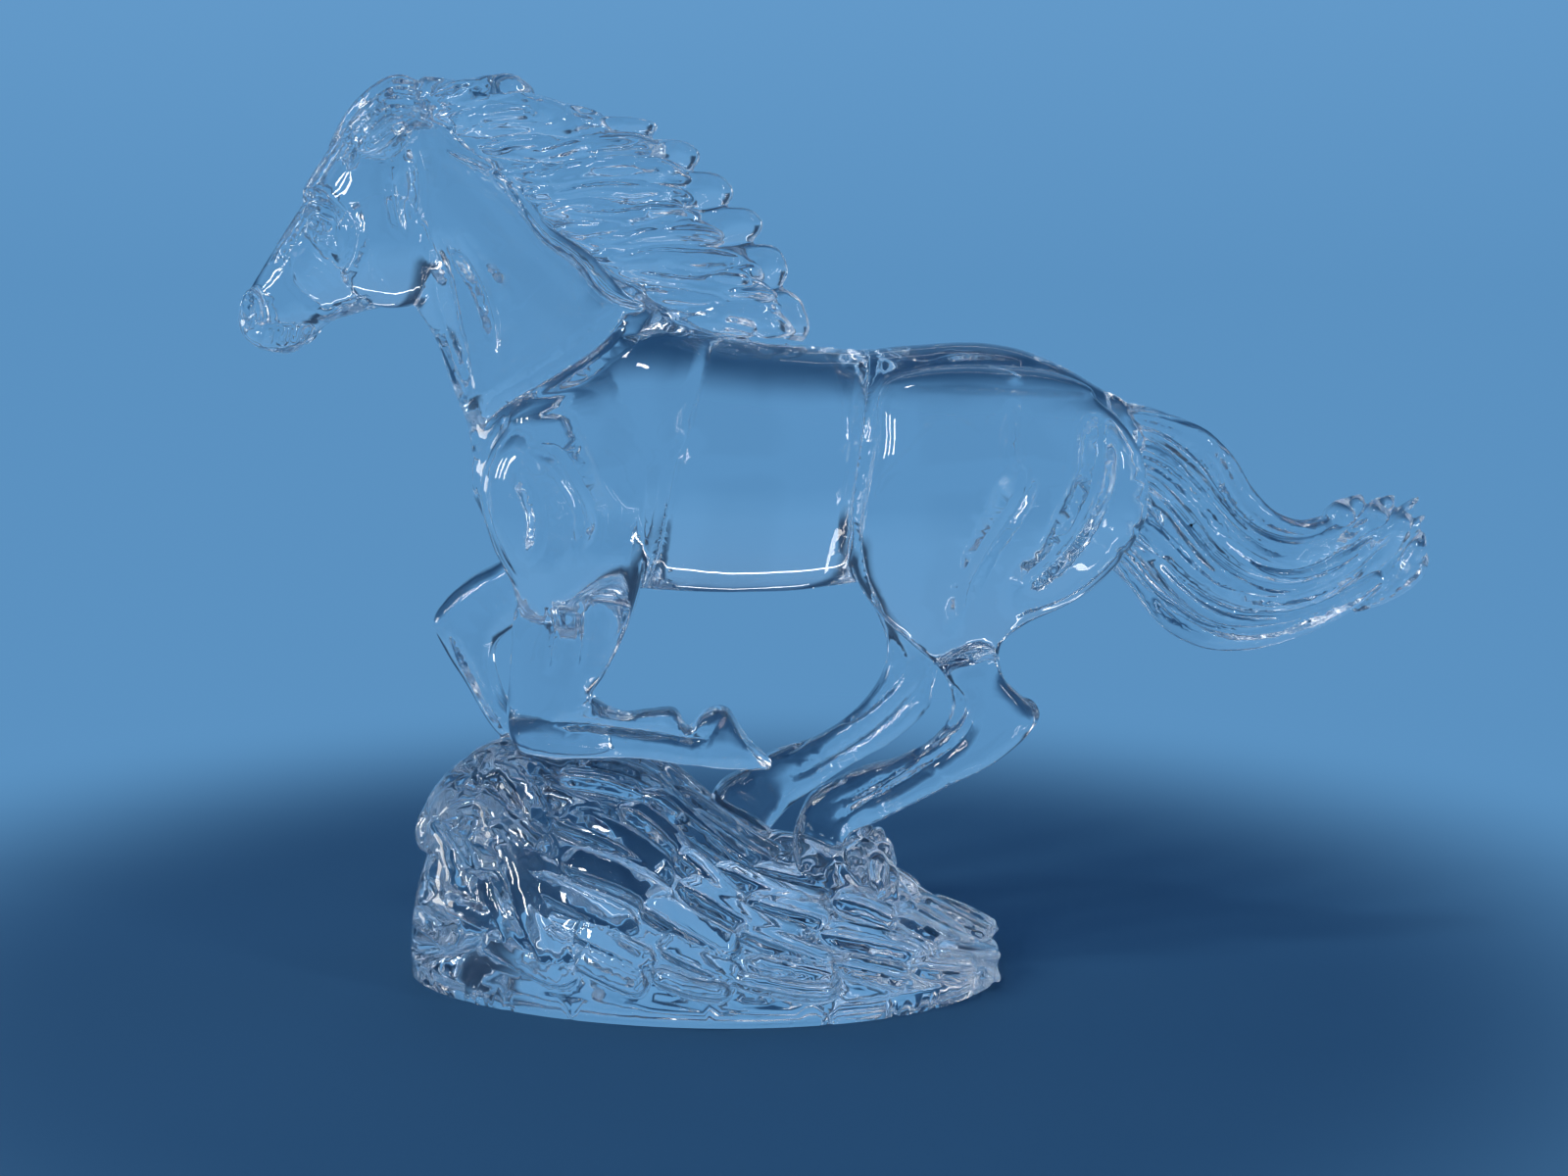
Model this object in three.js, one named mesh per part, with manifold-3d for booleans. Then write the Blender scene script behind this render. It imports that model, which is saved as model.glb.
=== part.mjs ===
// A horse at full gallop over a mound of wind-blown grass, in clear glass.
// The figure and its base are pressed in one mould, so they are one solid piece.
// Millimetres, +Z up. The head points along -X and the left side faces -Y.
// The origin is at the middle of the flat underside.

import * as THREE from "three";
import { mergeGeometries, mergeVertices } from "three/addons/utils/BufferGeometryUtils.js";
import Module from "manifold-3d";

// Driving sizes
const HORSE_LENGTH = 254;
const BARREL_WIDTH = 52;
const BASE_LENGTH = 129;
const BASE_WIDTH = 82;
const BASE_RIM = 4.5;
const GRASS_LENGTH = 27;
const GRASS_RELIEF = 3.4;

// The figure's own forms are shares of its length: one unit is one hundredth of it.
// Sideways they are shares of the barrel, which is 20.4 sideways units across.
const UNIT = HORSE_LENGTH / 100;
const SIDE_UNIT = BARREL_WIDTH / 20.4;

const wasm = await Module();
wasm.setup();

const mix = THREE.MathUtils.lerp;
const smoothstep = THREE.MathUtils.smoothstep;

// A repeatable spread of values from 0 to 1, so that no two locks or blades are alike
function scatter(number) {
  const turned = Math.sin(number * 12.9898 + 4.137) * 43758.5453;
  return turned - Math.floor(turned);
}

// A closed geometry made into a solid, with its faces pointing out
function solid(geometry) {
  geometry.deleteAttribute("normal");
  geometry.deleteAttribute("uv");
  const merged = mergeVertices(geometry, 1e-5);
  const vertProperties = new Float32Array(merged.attributes.position.array);
  const triVerts = new Uint32Array(merged.index.array);
  const corner = (t) => new THREE.Vector3().fromArray(vertProperties, 3 * triVerts[t]);
  let volume = 0;
  for (let t = 0; t < triVerts.length; t += 3) {
    volume += corner(t).dot(corner(t + 1).cross(corner(t + 2)));
  }
  if (volume < 0) {
    for (let t = 0; t < triVerts.length; t += 3) {
      const first = triVerts[t];
      triVerts[t] = triVerts[t + 1];
      triVerts[t + 1] = first;
    }
  }
  return new wasm.Manifold(new wasm.Mesh({ numProp: 3, vertProperties, triVerts }));
}

// A closed skin over rows of spots. The first row and the last one are a point each.
function skin(rows, sides, spotAt) {
  const geometry = new THREE.SphereGeometry(1, sides, rows);
  const corners = geometry.attributes.position;
  for (let i = 0; i < corners.count; i += 1) {
    const row = Math.floor(i / (sides + 1));
    const side = (i % (sides + 1)) % sides;
    const spot = spotAt(row, row === 0 || row === rows ? 0 : side);
    corners.setXYZ(i, spot.x, spot.y, spot.z);
  }
  return solid(geometry);
}

// A skin over oval sections, each a middle and its two half axes
function ovals(sections, sides) {
  return skin(sections.length - 1, sides, (row, side) => {
    const { middle, across, out } = sections[row];
    const turn = (2 * Math.PI * side) / sides;
    const spot = middle.clone().addScaledVector(across, Math.cos(turn));
    return spot.addScaledVector(out, Math.sin(turn));
  });
}

// A body between two outlines of the side view. Each station gives a point on one
// outline, its partner on the other, the sideways place and the half thickness,
// all in units: [x, z, partner x, partner z, y, half thickness].
function bodyBetween(stations, rows, sides) {
  const scale = new THREE.Vector3(UNIT, SIDE_UNIT, UNIT);
  const first = stations.map(([x, z, , , y]) => new THREE.Vector3(x, y, z).multiply(scale));
  const second = stations.map(([, , x, z, y]) => new THREE.Vector3(x, y, z).multiply(scale));
  const girth = stations.map((station, k) => new THREE.Vector3(station[5], k, 0));
  const curves = [first, second, girth].map((points) => new THREE.CatmullRomCurve3(points));
  const sections = [];
  for (let row = 0; row <= rows; row += 1) {
    const [a, b, g] = curves.map((curve) => curve.getPoint(row / rows));
    const open = row === 0 || row === rows ? 0 : 1;
    sections.push({
      middle: a.clone().add(b).multiplyScalar(0.5),
      across: a.clone().sub(b).multiplyScalar(0.5 * open),
      out: new THREE.Vector3(0, Math.max(g.x, 0.05) * SIDE_UNIT * open, 0),
    });
  }
  return ovals(sections, sides);
}

// How deep the groove is at a place across a fan of locks: 1 between two, 0 on a ridge
function groove(across, locks) {
  const turned = across * locks;
  return Math.abs(2 * (turned - Math.floor(turned)) - 1);
}

// A fan of locks, as a pillow: two sheets that meet along their edge. The place and the
// half thickness are asked for at each spot, along the locks and across them, in units.
function fan(placeAt, thicknessAt, steps, rows) {
  const sheets = [-1, 1].map((side) => {
    const sheet = new THREE.PlaneGeometry(1, 1, steps, rows);
    const corners = sheet.attributes.position;
    for (let i = 0; i < corners.count; i += 1) {
      const along = (i % (steps + 1)) / steps;
      const across = Math.floor(i / (steps + 1)) / rows;
      const edge = along === 0 || along === 1 || across === 0 || across === 1;
      const spot = placeAt(along, across);
      const thickness = edge ? 0 : thicknessAt(along, across);
      corners.setXYZ(i, spot.x * UNIT, side * thickness * SIDE_UNIT, spot.z * UNIT);
    }
    if (side > 0) {
      sheet.index.array.reverse();
    }
    return sheet;
  });
  return solid(mergeGeometries(sheets));
}

// How full a lock is along its length: a round root and a blunt tip
function lockTaper(share) {
  const root = Math.sqrt(Math.min(1, share / 0.3));
  const tip = Math.sqrt(Math.min(1, (1 - share) / 0.45));
  return root * tip;
}

// A single lock along a path of [x, y, z] in units, broad in the side view
function lock(path, halfWidth, halfThickness, rows, sides) {
  const scale = new THREE.Vector3(UNIT, SIDE_UNIT, UNIT);
  const curve = new THREE.CatmullRomCurve3(path.map((spot) => new THREE.Vector3(...spot).multiply(scale)));
  const sideways = new THREE.Vector3(0, 1, 0);
  const sections = [];
  for (let row = 0; row <= rows; row += 1) {
    const share = row / rows;
    const full = row === 0 || row === rows ? 0 : lockTaper(share);
    const across = new THREE.Vector3().crossVectors(sideways, curve.getTangent(share)).normalize();
    sections.push({
      middle: curve.getPoint(share),
      across: across.multiplyScalar(halfWidth * UNIT * full),
      out: sideways.clone().multiplyScalar(halfThickness * SIDE_UNIT * full),
    });
  }
  return ovals(sections, sides);
}

// Trunk: chest to buttock between the back line and the belly line
function trunk() {
  const stations = [
    [-19.3, 43.2, -19.3, 43.2, 0, 0],
    [-18.7, 46.3, -18.8, 40.1, 0, 3.4],
    [-16.1, 49.6, -16.4, 36.4, 0, 5.9],
    [-12.8, 52.5, -13.1, 34.2, 0, 7.4],
    [-9.5, 54.5, -9.8, 33.4, 0, 8.4],
    [-4.6, 55.7, -4.8, 33.1, 0, 9.4],
    [0.3, 54.6, 0.2, 32.9, 0, 10.0],
    [5.2, 53.7, 5.1, 32.9, 0, 10.2],
    [9.3, 53.4, 9.3, 33.2, 0, 9.7],
    [13.3, 53.1, 13.4, 33.7, 0, 8.8],
    [17.4, 53.5, 17.6, 34.2, 0, 8.4],
    [21.5, 53.8, 21.7, 34.6, 0, 8.2],
    [25.6, 53.4, 25.9, 34.8, 0, 7.8],
    [29.7, 51.9, 30.0, 34.8, 0, 6.9],
    [33.0, 50.0, 33.3, 35.6, 0, 5.4],
    [35.5, 48.6, 35.7, 37.7, 0, 3.6],
    [37.2, 42.6, 37.2, 42.6, 0, 0],
  ];
  return bodyBetween(stations, 18, 14);
}

// Neck: crest and throat lines, from deep in the shoulder up to the poll
function neck() {
  const stations = [
    [-3, 45, -3, 45, 0, 0],
    [2.5, 53.2, -15.5, 38.5, 0, 6.6],
    [-3.2, 57.0, -18.9, 42.8, 0, 7.0],
    [-8.0, 60.0, -19.6, 46.8, 0, 5.9],
    [-12.0, 63.6, -21.0, 50.4, 0, 5.0],
    [-15.6, 67.2, -22.0, 53.6, 0, 4.5],
    [-19.4, 70.6, -23.6, 56.4, 0, 4.1],
    [-22.6, 72.8, -25.8, 59.4, 0, 3.7],
    [-25.5, 68.5, -25.5, 68.5, 0, 0],
  ];
  return bodyBetween(stations, 13, 12);
}

// Head: the line of forehead and nose, and the line of cheek and jaw
function head() {
  const stations = [
    [-23.4, 74.0, -23.4, 74.0, 0, 0],
    [-25.6, 74.0, -20.6, 70.2, 0, 2.6],
    [-28.3, 71.7, -21.4, 65.0, 0, 3.8],
    [-30.6, 68.5, -22.8, 60.6, 0, 4.5],
    [-32.3, 66.0, -25.2, 57.2, 0, 4.6],
    [-33.8, 63.8, -28.7, 56.6, 0, 3.9],
    [-35.4, 61.4, -31.0, 56.0, 0, 3.0],
    [-37.1, 58.8, -32.5, 54.2, 0, 2.8],
    [-38.4, 56.4, -34.2, 52.9, 0, 2.7],
    [-38.2, 54.7, -36.3, 53.1, 0, 1.9],
    [-37.4, 53.8, -37.4, 53.8, 0, 0],
  ];
  return bodyBetween(stations, 16, 12);
}

// Fore and hind limbs: down the front line and back up the rear line, hoof last
function nearForeleg() {
  const stations = [
    [-11, 50.5, -11, 50.5, -5, 0],
    [-15.8, 47.0, -5.2, 49.8, -5.4, 2.8],
    [-17.8, 42.4, -2.4, 44.8, -5.6, 4.3],
    [-16.9, 37.6, -3.8, 38.8, -5.2, 4.4],
    [-15.3, 33.6, -5.0, 33.6, -4.5, 3.8],
    [-15.6, 30.3, -6.2, 30.3, -4.1, 3.3],
    [-16.0, 26.1, -8.0, 26.5, -3.8, 2.8],
    [-16.3, 22.8, -9.2, 24.6, -3.7, 2.6],
    [-15.6, 20.2, -8.9, 24.3, -3.7, 2.5],
    [-12.8, 19.4, -8.6, 24.1, -3.7, 2.3],
    [-9.4, 19.3, -8.0, 23.7, -3.7, 2.0],
    [-6.6, 19.3, -6.6, 23.2, -3.7, 1.7],
    [-4.4, 19.1, -4.4, 23.4, -3.7, 1.7],
    [-1.8, 18.7, -2.3, 23.4, -3.7, 2.0],
    [-0.1, 18.6, -0.8, 21.6, -3.7, 1.7],
    [1.6, 18.4, 0.5, 22.9, -3.7, 2.0],
    [3.6, 18.4, 2.2, 23.5, -3.7, 2.2],
    [5.7, 18.6, 3.6, 20.8, -3.7, 2.0],
    [5.3, 19.2, 5.3, 19.2, -3.7, 0],
  ];
  return bodyBetween(stations, 27, 9);
}

function farForeleg() {
  const stations = [
    [-11, 50.5, -11, 50.5, 5, 0],
    [-15.8, 47.0, -5.2, 49.8, 5.4, 2.8],
    [-17.8, 42.4, -2.4, 44.8, 5.6, 4.3],
    [-17.3, 37.8, -6.4, 37.2, 5.2, 4.3],
    [-17.2, 35.3, -12.6, 31.6, 4.6, 3.5],
    [-20.2, 33.4, -16.3, 29.4, 4.0, 2.8],
    [-22.4, 31.5, -17.9, 28.0, 3.8, 2.5],
    [-23.4, 29.8, -18.4, 26.4, 3.8, 2.4],
    [-22.5, 27.4, -18.0, 24.6, 3.8, 2.1],
    [-20.9, 24.6, -17.4, 22.9, 3.8, 1.8],
    [-19.2, 21.4, -16.2, 21.6, 3.8, 1.8],
    [-17.9, 19.7, -15.2, 22.0, 3.8, 1.7],
    [-16.0, 19.0, -12.6, 22.2, 3.8, 1.9],
    [-12.8, 18.8, -9.8, 21.6, 3.8, 2.1],
    [-10.4, 18.9, -8.9, 20.4, 3.8, 1.8],
    [-9.4, 19.5, -9.4, 19.5, 3.8, 0],
  ];
  return bodyBetween(stations, 23, 9);
}

function nearHindleg() {
  const stations = [
    [24, 52.0, 24, 52.0, -4.6, 0],
    [14.6, 50.2, 32.0, 49.4, -5.0, 3.0],
    [13.6, 45.5, 35.6, 45.0, -5.4, 4.7],
    [12.2, 40.0, 36.0, 39.4, -5.2, 5.0],
    [12.4, 35.4, 31.8, 33.8, -4.7, 4.5],
    [14.6, 31.7, 26.4, 30.8, -4.3, 3.6],
    [17.4, 29.0, 24.7, 28.8, -4.0, 2.7],
    [19.8, 26.8, 25.1, 26.2, -3.9, 2.2],
    [20.8, 24.6, 26.9, 24.2, -3.9, 2.2],
    [20.5, 22.4, 27.6, 22.2, -3.9, 2.1],
    [19.1, 20.7, 25.2, 19.6, -3.9, 1.9],
    [16.6, 19.3, 21.4, 17.4, -3.9, 1.7],
    [13.8, 18.5, 17.6, 15.4, -3.9, 1.7],
    [11.4, 17.5, 14.8, 14.0, -3.9, 1.9],
    [9.2, 16.3, 12.6, 13.0, -3.9, 1.8],
    [8.0, 14.2, 11.8, 11.6, -3.9, 1.8],
    [7.5, 12.1, 12.2, 9.8, -3.9, 2.2],
    [8.6, 8.6, 13.2, 8.2, -3.9, 2.4],
    [10.8, 5.2, 10.8, 5.2, -3.9, 0],
  ];
  return bodyBetween(stations, 27, 9);
}

function farHindleg() {
  const stations = [
    [24, 52.0, 24, 52.0, 4.6, 0],
    [14.6, 50.2, 32.0, 49.2, 5.0, 3.0],
    [13.6, 45.5, 35.2, 44.8, 5.4, 4.7],
    [12.2, 40.0, 35.2, 39.2, 5.2, 5.0],
    [12.4, 35.4, 30.4, 34.0, 4.7, 4.4],
    [14.7, 30.9, 23.4, 29.4, 4.3, 3.3],
    [15.9, 28.2, 21.0, 26.2, 4.0, 2.5],
    [16.3, 26.4, 20.4, 23.6, 3.9, 2.2],
    [14.9, 24.5, 19.4, 21.9, 3.9, 2.1],
    [12.6, 22.6, 16.6, 20.0, 3.9, 1.8],
    [9.4, 20.4, 13.2, 17.8, 3.9, 1.7],
    [6.0, 18.2, 10.0, 15.2, 3.9, 1.9],
    [3.6, 16.7, 7.4, 13.4, 3.9, 1.8],
    [1.2, 15.3, 5.8, 11.6, 3.9, 2.2],
    [0.0, 12.8, 4.0, 9.4, 3.9, 2.2],
    [1.6, 9.4, 1.6, 9.4, 3.9, 0],
  ];
  return bodyBetween(stations, 23, 9);
}

// Ears laid back and the forelock blown over the brow
function earsAndForelock() {
  const parts = [];
  for (const side of [-1, 1]) {
    const ear = [
      [-27.6, side * 2.0, 69.4],
      [-26.0, side * 3.1, 70.6],
      [-24.2, side * 3.6, 71.8],
      [-22.2, side * 3.3, 72.9],
    ];
    parts.push(lock(ear, 1.5, 1.1, 5, 6));
    for (let k = 0; k < 2; k += 1) {
      const strand = [
        [-22.6 - 0.8 * k, side * (1.0 + 0.5 * k), 74.0 - 0.4 * k],
        [-26.0, side * (1.5 + 0.9 * k), 73.6 - 0.8 * k],
        [-28.6 - 0.3 * k, side * (1.4 + 0.9 * k), 70.9 - 0.9 * k],
        [-30.2 - 0.5 * k, side * (1.3 + 0.8 * k), 68.2 - 1.4 * k],
      ];
      parts.push(lock(strand, 0.95, 1.0, 5, 5));
    }
  }
  return parts;
}

// Mane: a fan of locks streaming back from the crest of the neck to scalloped tips
const MANE_LOCKS = 10;
const maneRoots = new THREE.CatmullRomCurve3([
  new THREE.Vector3(-24.6, 0, 71.0),
  new THREE.Vector3(-20.0, 0, 68.2),
  new THREE.Vector3(-15.6, 0, 64.8),
  new THREE.Vector3(-11.6, 0, 60.0),
  new THREE.Vector3(-6.6, 0, 56.2),
  new THREE.Vector3(-1.0, 0, 53.4),
]);
const maneTips = new THREE.CatmullRomCurve3([
  new THREE.Vector3(-21.6, 0, 75.2),
  new THREE.Vector3(-8.8, 0, 72.6),
  new THREE.Vector3(-1.6, 0, 70.6),
  new THREE.Vector3(3.0, 0, 66.0),
  new THREE.Vector3(6.6, 0, 61.4),
  new THREE.Vector3(9.6, 0, 53.6),
]);
function manePlace(along, across) {
  const scallop = 0.16 * groove(across, MANE_LOCKS) ** 2;
  const reach = along * (1 - scallop * along);
  const spot = maneRoots.getPoint(across).lerp(maneTips.getPoint(across), reach);
  const lock = Math.floor(across * MANE_LOCKS);
  spot.z += mix(2.2, 0.6, across) * Math.sin(Math.PI * along) + 0.5 * along * (scatter(lock) - 0.5);
  return spot;
}
function maneThickness(along, across) {
  const cut = 1 - 0.42 * groove(across, MANE_LOCKS) ** 2 * smoothstep(along, 0, 0.3);
  return mix(3.1, 2.1, along) * cut;
}

// Tail: a plume that drops from the dock, sweeps back and curls up to its tips
const tailTop = new THREE.CatmullRomCurve3([
  new THREE.Vector3(33.0, 0, 49.2),
  new THREE.Vector3(38.6, 0, 48.0),
  new THREE.Vector3(42.6, 0, 45.6),
  new THREE.Vector3(45.0, 0, 41.6),
  new THREE.Vector3(48.2, 0, 38.8),
  new THREE.Vector3(51.6, 0, 38.6),
  new THREE.Vector3(53.8, 0, 41.2),
]);
const tailMiddle = new THREE.CatmullRomCurve3([
  new THREE.Vector3(32.6, 0, 43.6),
  new THREE.Vector3(36.6, 0, 42.6),
  new THREE.Vector3(39.8, 0, 39.4),
  new THREE.Vector3(43.4, 0, 35.6),
  new THREE.Vector3(48.6, 0, 33.6),
  new THREE.Vector3(54.2, 0, 35.8),
  new THREE.Vector3(59.2, 0, 40.8),
]);
const tailBottom = new THREE.CatmullRomCurve3([
  new THREE.Vector3(31.6, 0, 37.6),
  new THREE.Vector3(35.6, 0, 33.6),
  new THREE.Vector3(39.6, 0, 29.9),
  new THREE.Vector3(44.6, 0, 28.2),
  new THREE.Vector3(50.6, 0, 29.4),
  new THREE.Vector3(56.6, 0, 32.4),
  new THREE.Vector3(61.4, 0, 36.8),
]);
function tailPoint(along, down) {
  const upper = down < 0.5 ? tailTop : tailMiddle;
  const lower = down < 0.5 ? tailMiddle : tailBottom;
  const share = 2 * (down < 0.5 ? down : down - 0.5);
  return upper.getPoint(along).lerp(lower.getPoint(along), share);
}
const TAIL_LOCKS = 8;
function tailPlace(along, across) {
  const scallop = 0.07 * groove(across, TAIL_LOCKS) ** 2;
  const swell = 1.6 * Math.sin(Math.PI * across) * smoothstep(along, 0.8, 1);
  const spot = tailPoint(along * (1 - scallop * along), across);
  spot.x += swell;
  spot.z += 0.4 * swell;
  return spot;
}
function tailThickness(along, across) {
  const round = Math.sqrt(Math.sin(Math.PI * mix(0.06, 0.94, across)));
  const cut = 1 - 0.4 * groove(across, TAIL_LOCKS) ** 2 * smoothstep(along, 0, 0.2);
  return mix(3.6, 1.8, along) * round * cut;
}

// Mound: an egg-shaped plan, and a ridge that is high under the forelegs and falls
// away behind. The ridge follows the horse, so the hooves stay rooted in it.
const ridge = new THREE.SplineCurve([
  new THREE.Vector2(-25.6, 9.6),
  new THREE.Vector2(-24.0, 12.0),
  new THREE.Vector2(-20.8, 15.8),
  new THREE.Vector2(-16.6, 18.4),
  new THREE.Vector2(-11.0, 18.0),
  new THREE.Vector2(-5.6, 17.0),
  new THREE.Vector2(-1.0, 13.6),
  new THREE.Vector2(4.0, 10.2),
  new THREE.Vector2(10.0, 8.4),
  new THREE.Vector2(16.0, 6.4),
  new THREE.Vector2(20.6, 3.6),
  new THREE.Vector2(25.6, 1.6),
]);
const ridgeSteps = ridge.getPoints(160);
function ridgeHeight(x) {
  const share = x / UNIT;
  const after = ridgeSteps.findIndex((point) => point.x > share);
  if (after < 1) {
    return (after === 0 ? ridgeSteps[0].y : ridgeSteps[ridgeSteps.length - 1].y) * UNIT;
  }
  const from = ridgeSteps[after - 1];
  const to = ridgeSteps[after];
  return mix(from.y, to.y, (share - from.x) / (to.x - from.x)) * UNIT;
}
function planWidth(lengthwise) {
  return 0.5 * BASE_WIDTH * Math.sqrt(Math.max(0, 1 - lengthwise ** 2)) * (1 + 0.1 * lengthwise);
}
// The smooth mound over a spot of the plan, given as shares of its half sizes
function moundPoint(lengthwise, sideways) {
  const x = 0.5 * BASE_LENGTH * lengthwise;
  const end = (1 - Math.abs(lengthwise) ** 16) ** 0.5;
  const crown = end * (1 - Math.abs(sideways) ** 2.2) ** 0.7;
  const top = Math.max(ridgeHeight(x), BASE_RIM + 1);
  return new THREE.Vector3(x, planWidth(lengthwise) * sideways, mix(BASE_RIM, top, crown));
}

// Grass: rows of long blades laid over by the wind. The rows start at the high left end
// and drift down the sides, and blades in neighbouring rows are staggered.
const GRASS_ROWS = 12;
const FACETS_ACROSS = 4;
const MOUND_ROWS = 33;
const MOUND_SIDES = FACETS_ACROSS * GRASS_ROWS;
const MOUND_BOTTOM = 6;
function bladeHeight(x, row, between) {
  const along = x / GRASS_LENGTH + scatter(row) + 0.5 * row;
  const share = along - Math.floor(along);
  const taper = Math.min(1, 3 * share, 3.6 * (1 - share));
  return GRASS_RELIEF * (1 - between ** 2) * mix(0.15, 1, taper);
}
function moundSpot(row, side) {
  const lengthwise = -Math.cos((Math.PI * row) / MOUND_ROWS);
  if (side > MOUND_SIDES) {
    const over = (side - MOUND_SIDES) / MOUND_BOTTOM;
    const half = 0.985 * planWidth(lengthwise);
    return new THREE.Vector3(0.49 * BASE_LENGTH * lengthwise, mix(half, -half, over), 0);
  }
  const turned = (2 * side) / MOUND_SIDES - 1;
  const drift = mix(1.35, 0.85, 0.5 + 0.5 * lengthwise);
  const warped = Math.sign(turned) * Math.abs(turned) ** drift;
  const sideways = Math.sin(0.5 * Math.PI * warped);
  const spot = moundPoint(lengthwise, sideways);
  if (side === 0 || side === MOUND_SIDES) {
    spot.z = 0.4 * BASE_RIM;
    return spot;
  }
  const blade = Math.floor(side / FACETS_ACROSS);
  const clear = smoothstep(1 - Math.abs(turned), 0, 0.16);
  const relief = clear * bladeHeight(spot.x, blade, groove(side / MOUND_SIDES, GRASS_ROWS));
  const lean = Math.sign(sideways) * Math.abs(sideways) ** 3;
  spot.z += relief * Math.sqrt(1 - lean ** 2);
  spot.y += relief * lean;
  return spot;
}
function mound() {
  return skin(MOUND_ROWS, MOUND_SIDES + MOUND_BOTTOM, moundSpot);
}

// Tufts that stand up against the left end and behind the hind hoof
function tufts() {
  const spots = [
    [15.2, -3.4, 12.6, 13.4, 1.5],
    [13.9, -1.4, 11.8, 12.6, 1.4],
    [17.0, -4.0, 8.6, 15.2, 1.3],
    [-17.6, -1.0, 19.6, -13.0, 1.6],
    [-16.4, 1.6, 20.2, -12.0, 1.6],
    [-15.2, -2.6, 20.0, -11.0, 1.6],
  ];
  return spots.map(([x, y, z, foot, width]) => {
    const path = [0.45, 0.65, 0.85, 1].map((share, step) => [mix(foot, x, step / 3), y, z * share]);
    return lock(path, width, 1.2, 6, 6);
  });
}

// Everything is one pressing, so all the forms join into one solid
const forms = [
  mound(),
  ...tufts(),
  trunk(),
  neck(),
  head(),
  ...earsAndForelock(),
  nearForeleg(),
  farForeleg(),
  nearHindleg(),
  farHindleg(),
  fan(manePlace, maneThickness, 6, 4 * MANE_LOCKS),
  fan(tailPlace, tailThickness, 10, 3 * TAIL_LOCKS),
];
let figure = forms[0];
for (const form of forms.slice(1)) {
  figure = figure.add(form);
}

// The mould's flat bottom trims whatever reaches below the table
const spare = 4 * HORSE_LENGTH;
const below = new THREE.BoxGeometry(spare, spare, spare);
below.translate(0, 0, -0.5 * spare);
figure = figure.subtract(solid(below));

// The glass fills the mould, so the pockets that overlapping locks close off are solid:
// only the outer skin is kept, which is the largest group of joined triangles
function outerSkin(triVerts, vertexCount) {
  const leader = Array.from({ length: vertexCount }, (_, i) => i);
  function find(i) {
    let top = i;
    while (leader[top] !== top) {
      leader[top] = leader[leader[top]];
      top = leader[top];
    }
    return top;
  }
  for (let t = 0; t < triVerts.length; t += 3) {
    leader[find(triVerts[t + 1])] = find(triVerts[t]);
    leader[find(triVerts[t + 2])] = find(triVerts[t]);
  }
  const groups = new Map();
  for (let t = 0; t < triVerts.length; t += 3) {
    const name = find(triVerts[t]);
    groups.set(name, groups.get(name) ?? []);
    groups.get(name).push(triVerts[t], triVerts[t + 1], triVerts[t + 2]);
  }
  return [...groups.values()].sort((a, b) => b.length - a.length)[0];
}

const pressed = figure.getMesh();
const geometry = new THREE.BufferGeometry();
geometry.setAttribute("position", new THREE.BufferAttribute(pressed.vertProperties, 3));
geometry.setIndex(outerSkin(pressed.triVerts, pressed.vertProperties.length / 3));
geometry.computeVertexNormals();

const clearGlass = new THREE.MeshStandardMaterial({
  color: 0xf2f7fb,
  roughness: 0.03,
  metalness: 0,
  transparent: true,
  opacity: 0.35,
});
const horse = new THREE.Mesh(geometry, clearGlass);
horse.name = "crystal_horse";

const group = new THREE.Group();
group.add(horse);
export default group;
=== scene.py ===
import math

import bmesh
import bpy
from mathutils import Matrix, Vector, noise
from mathutils.bvhtree import BVHTree
from mathutils.kdtree import KDTree


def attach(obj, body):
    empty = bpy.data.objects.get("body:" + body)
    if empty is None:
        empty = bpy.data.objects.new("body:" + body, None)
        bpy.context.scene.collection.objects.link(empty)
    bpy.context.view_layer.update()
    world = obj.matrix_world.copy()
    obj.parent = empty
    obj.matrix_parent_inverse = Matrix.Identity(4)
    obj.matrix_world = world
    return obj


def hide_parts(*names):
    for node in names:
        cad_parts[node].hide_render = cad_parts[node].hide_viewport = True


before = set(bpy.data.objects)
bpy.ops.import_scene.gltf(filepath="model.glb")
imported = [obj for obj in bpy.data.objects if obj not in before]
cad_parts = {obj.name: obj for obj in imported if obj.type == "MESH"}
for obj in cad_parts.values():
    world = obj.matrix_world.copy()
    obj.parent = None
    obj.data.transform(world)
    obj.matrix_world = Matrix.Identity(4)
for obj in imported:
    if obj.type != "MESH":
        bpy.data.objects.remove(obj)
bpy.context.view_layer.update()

# TRUNK
# The barrel of the horse, from the chest to the buttock. It is solid clear crystal, pressed in
# one mould with everything below, so its shape goes into one mesh with theirs. One unit is one
# hundredth of the horse's length, and sideways units are shares of the barrel's width.
HORSE_LENGTH = 0.254
BARREL_WIDTH = 0.052
UNIT = HORSE_LENGTH / 100
SIDE_UNIT = BARREL_WIDTH / 20.4
pressing = bmesh.new()
form_mesh = bpy.data.meshes.new("form")


def placed(spot):
    """A spot in units, in metres."""
    return Vector((spot[0] * UNIT, spot[1] * SIDE_UNIT, spot[2] * UNIT))


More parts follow.
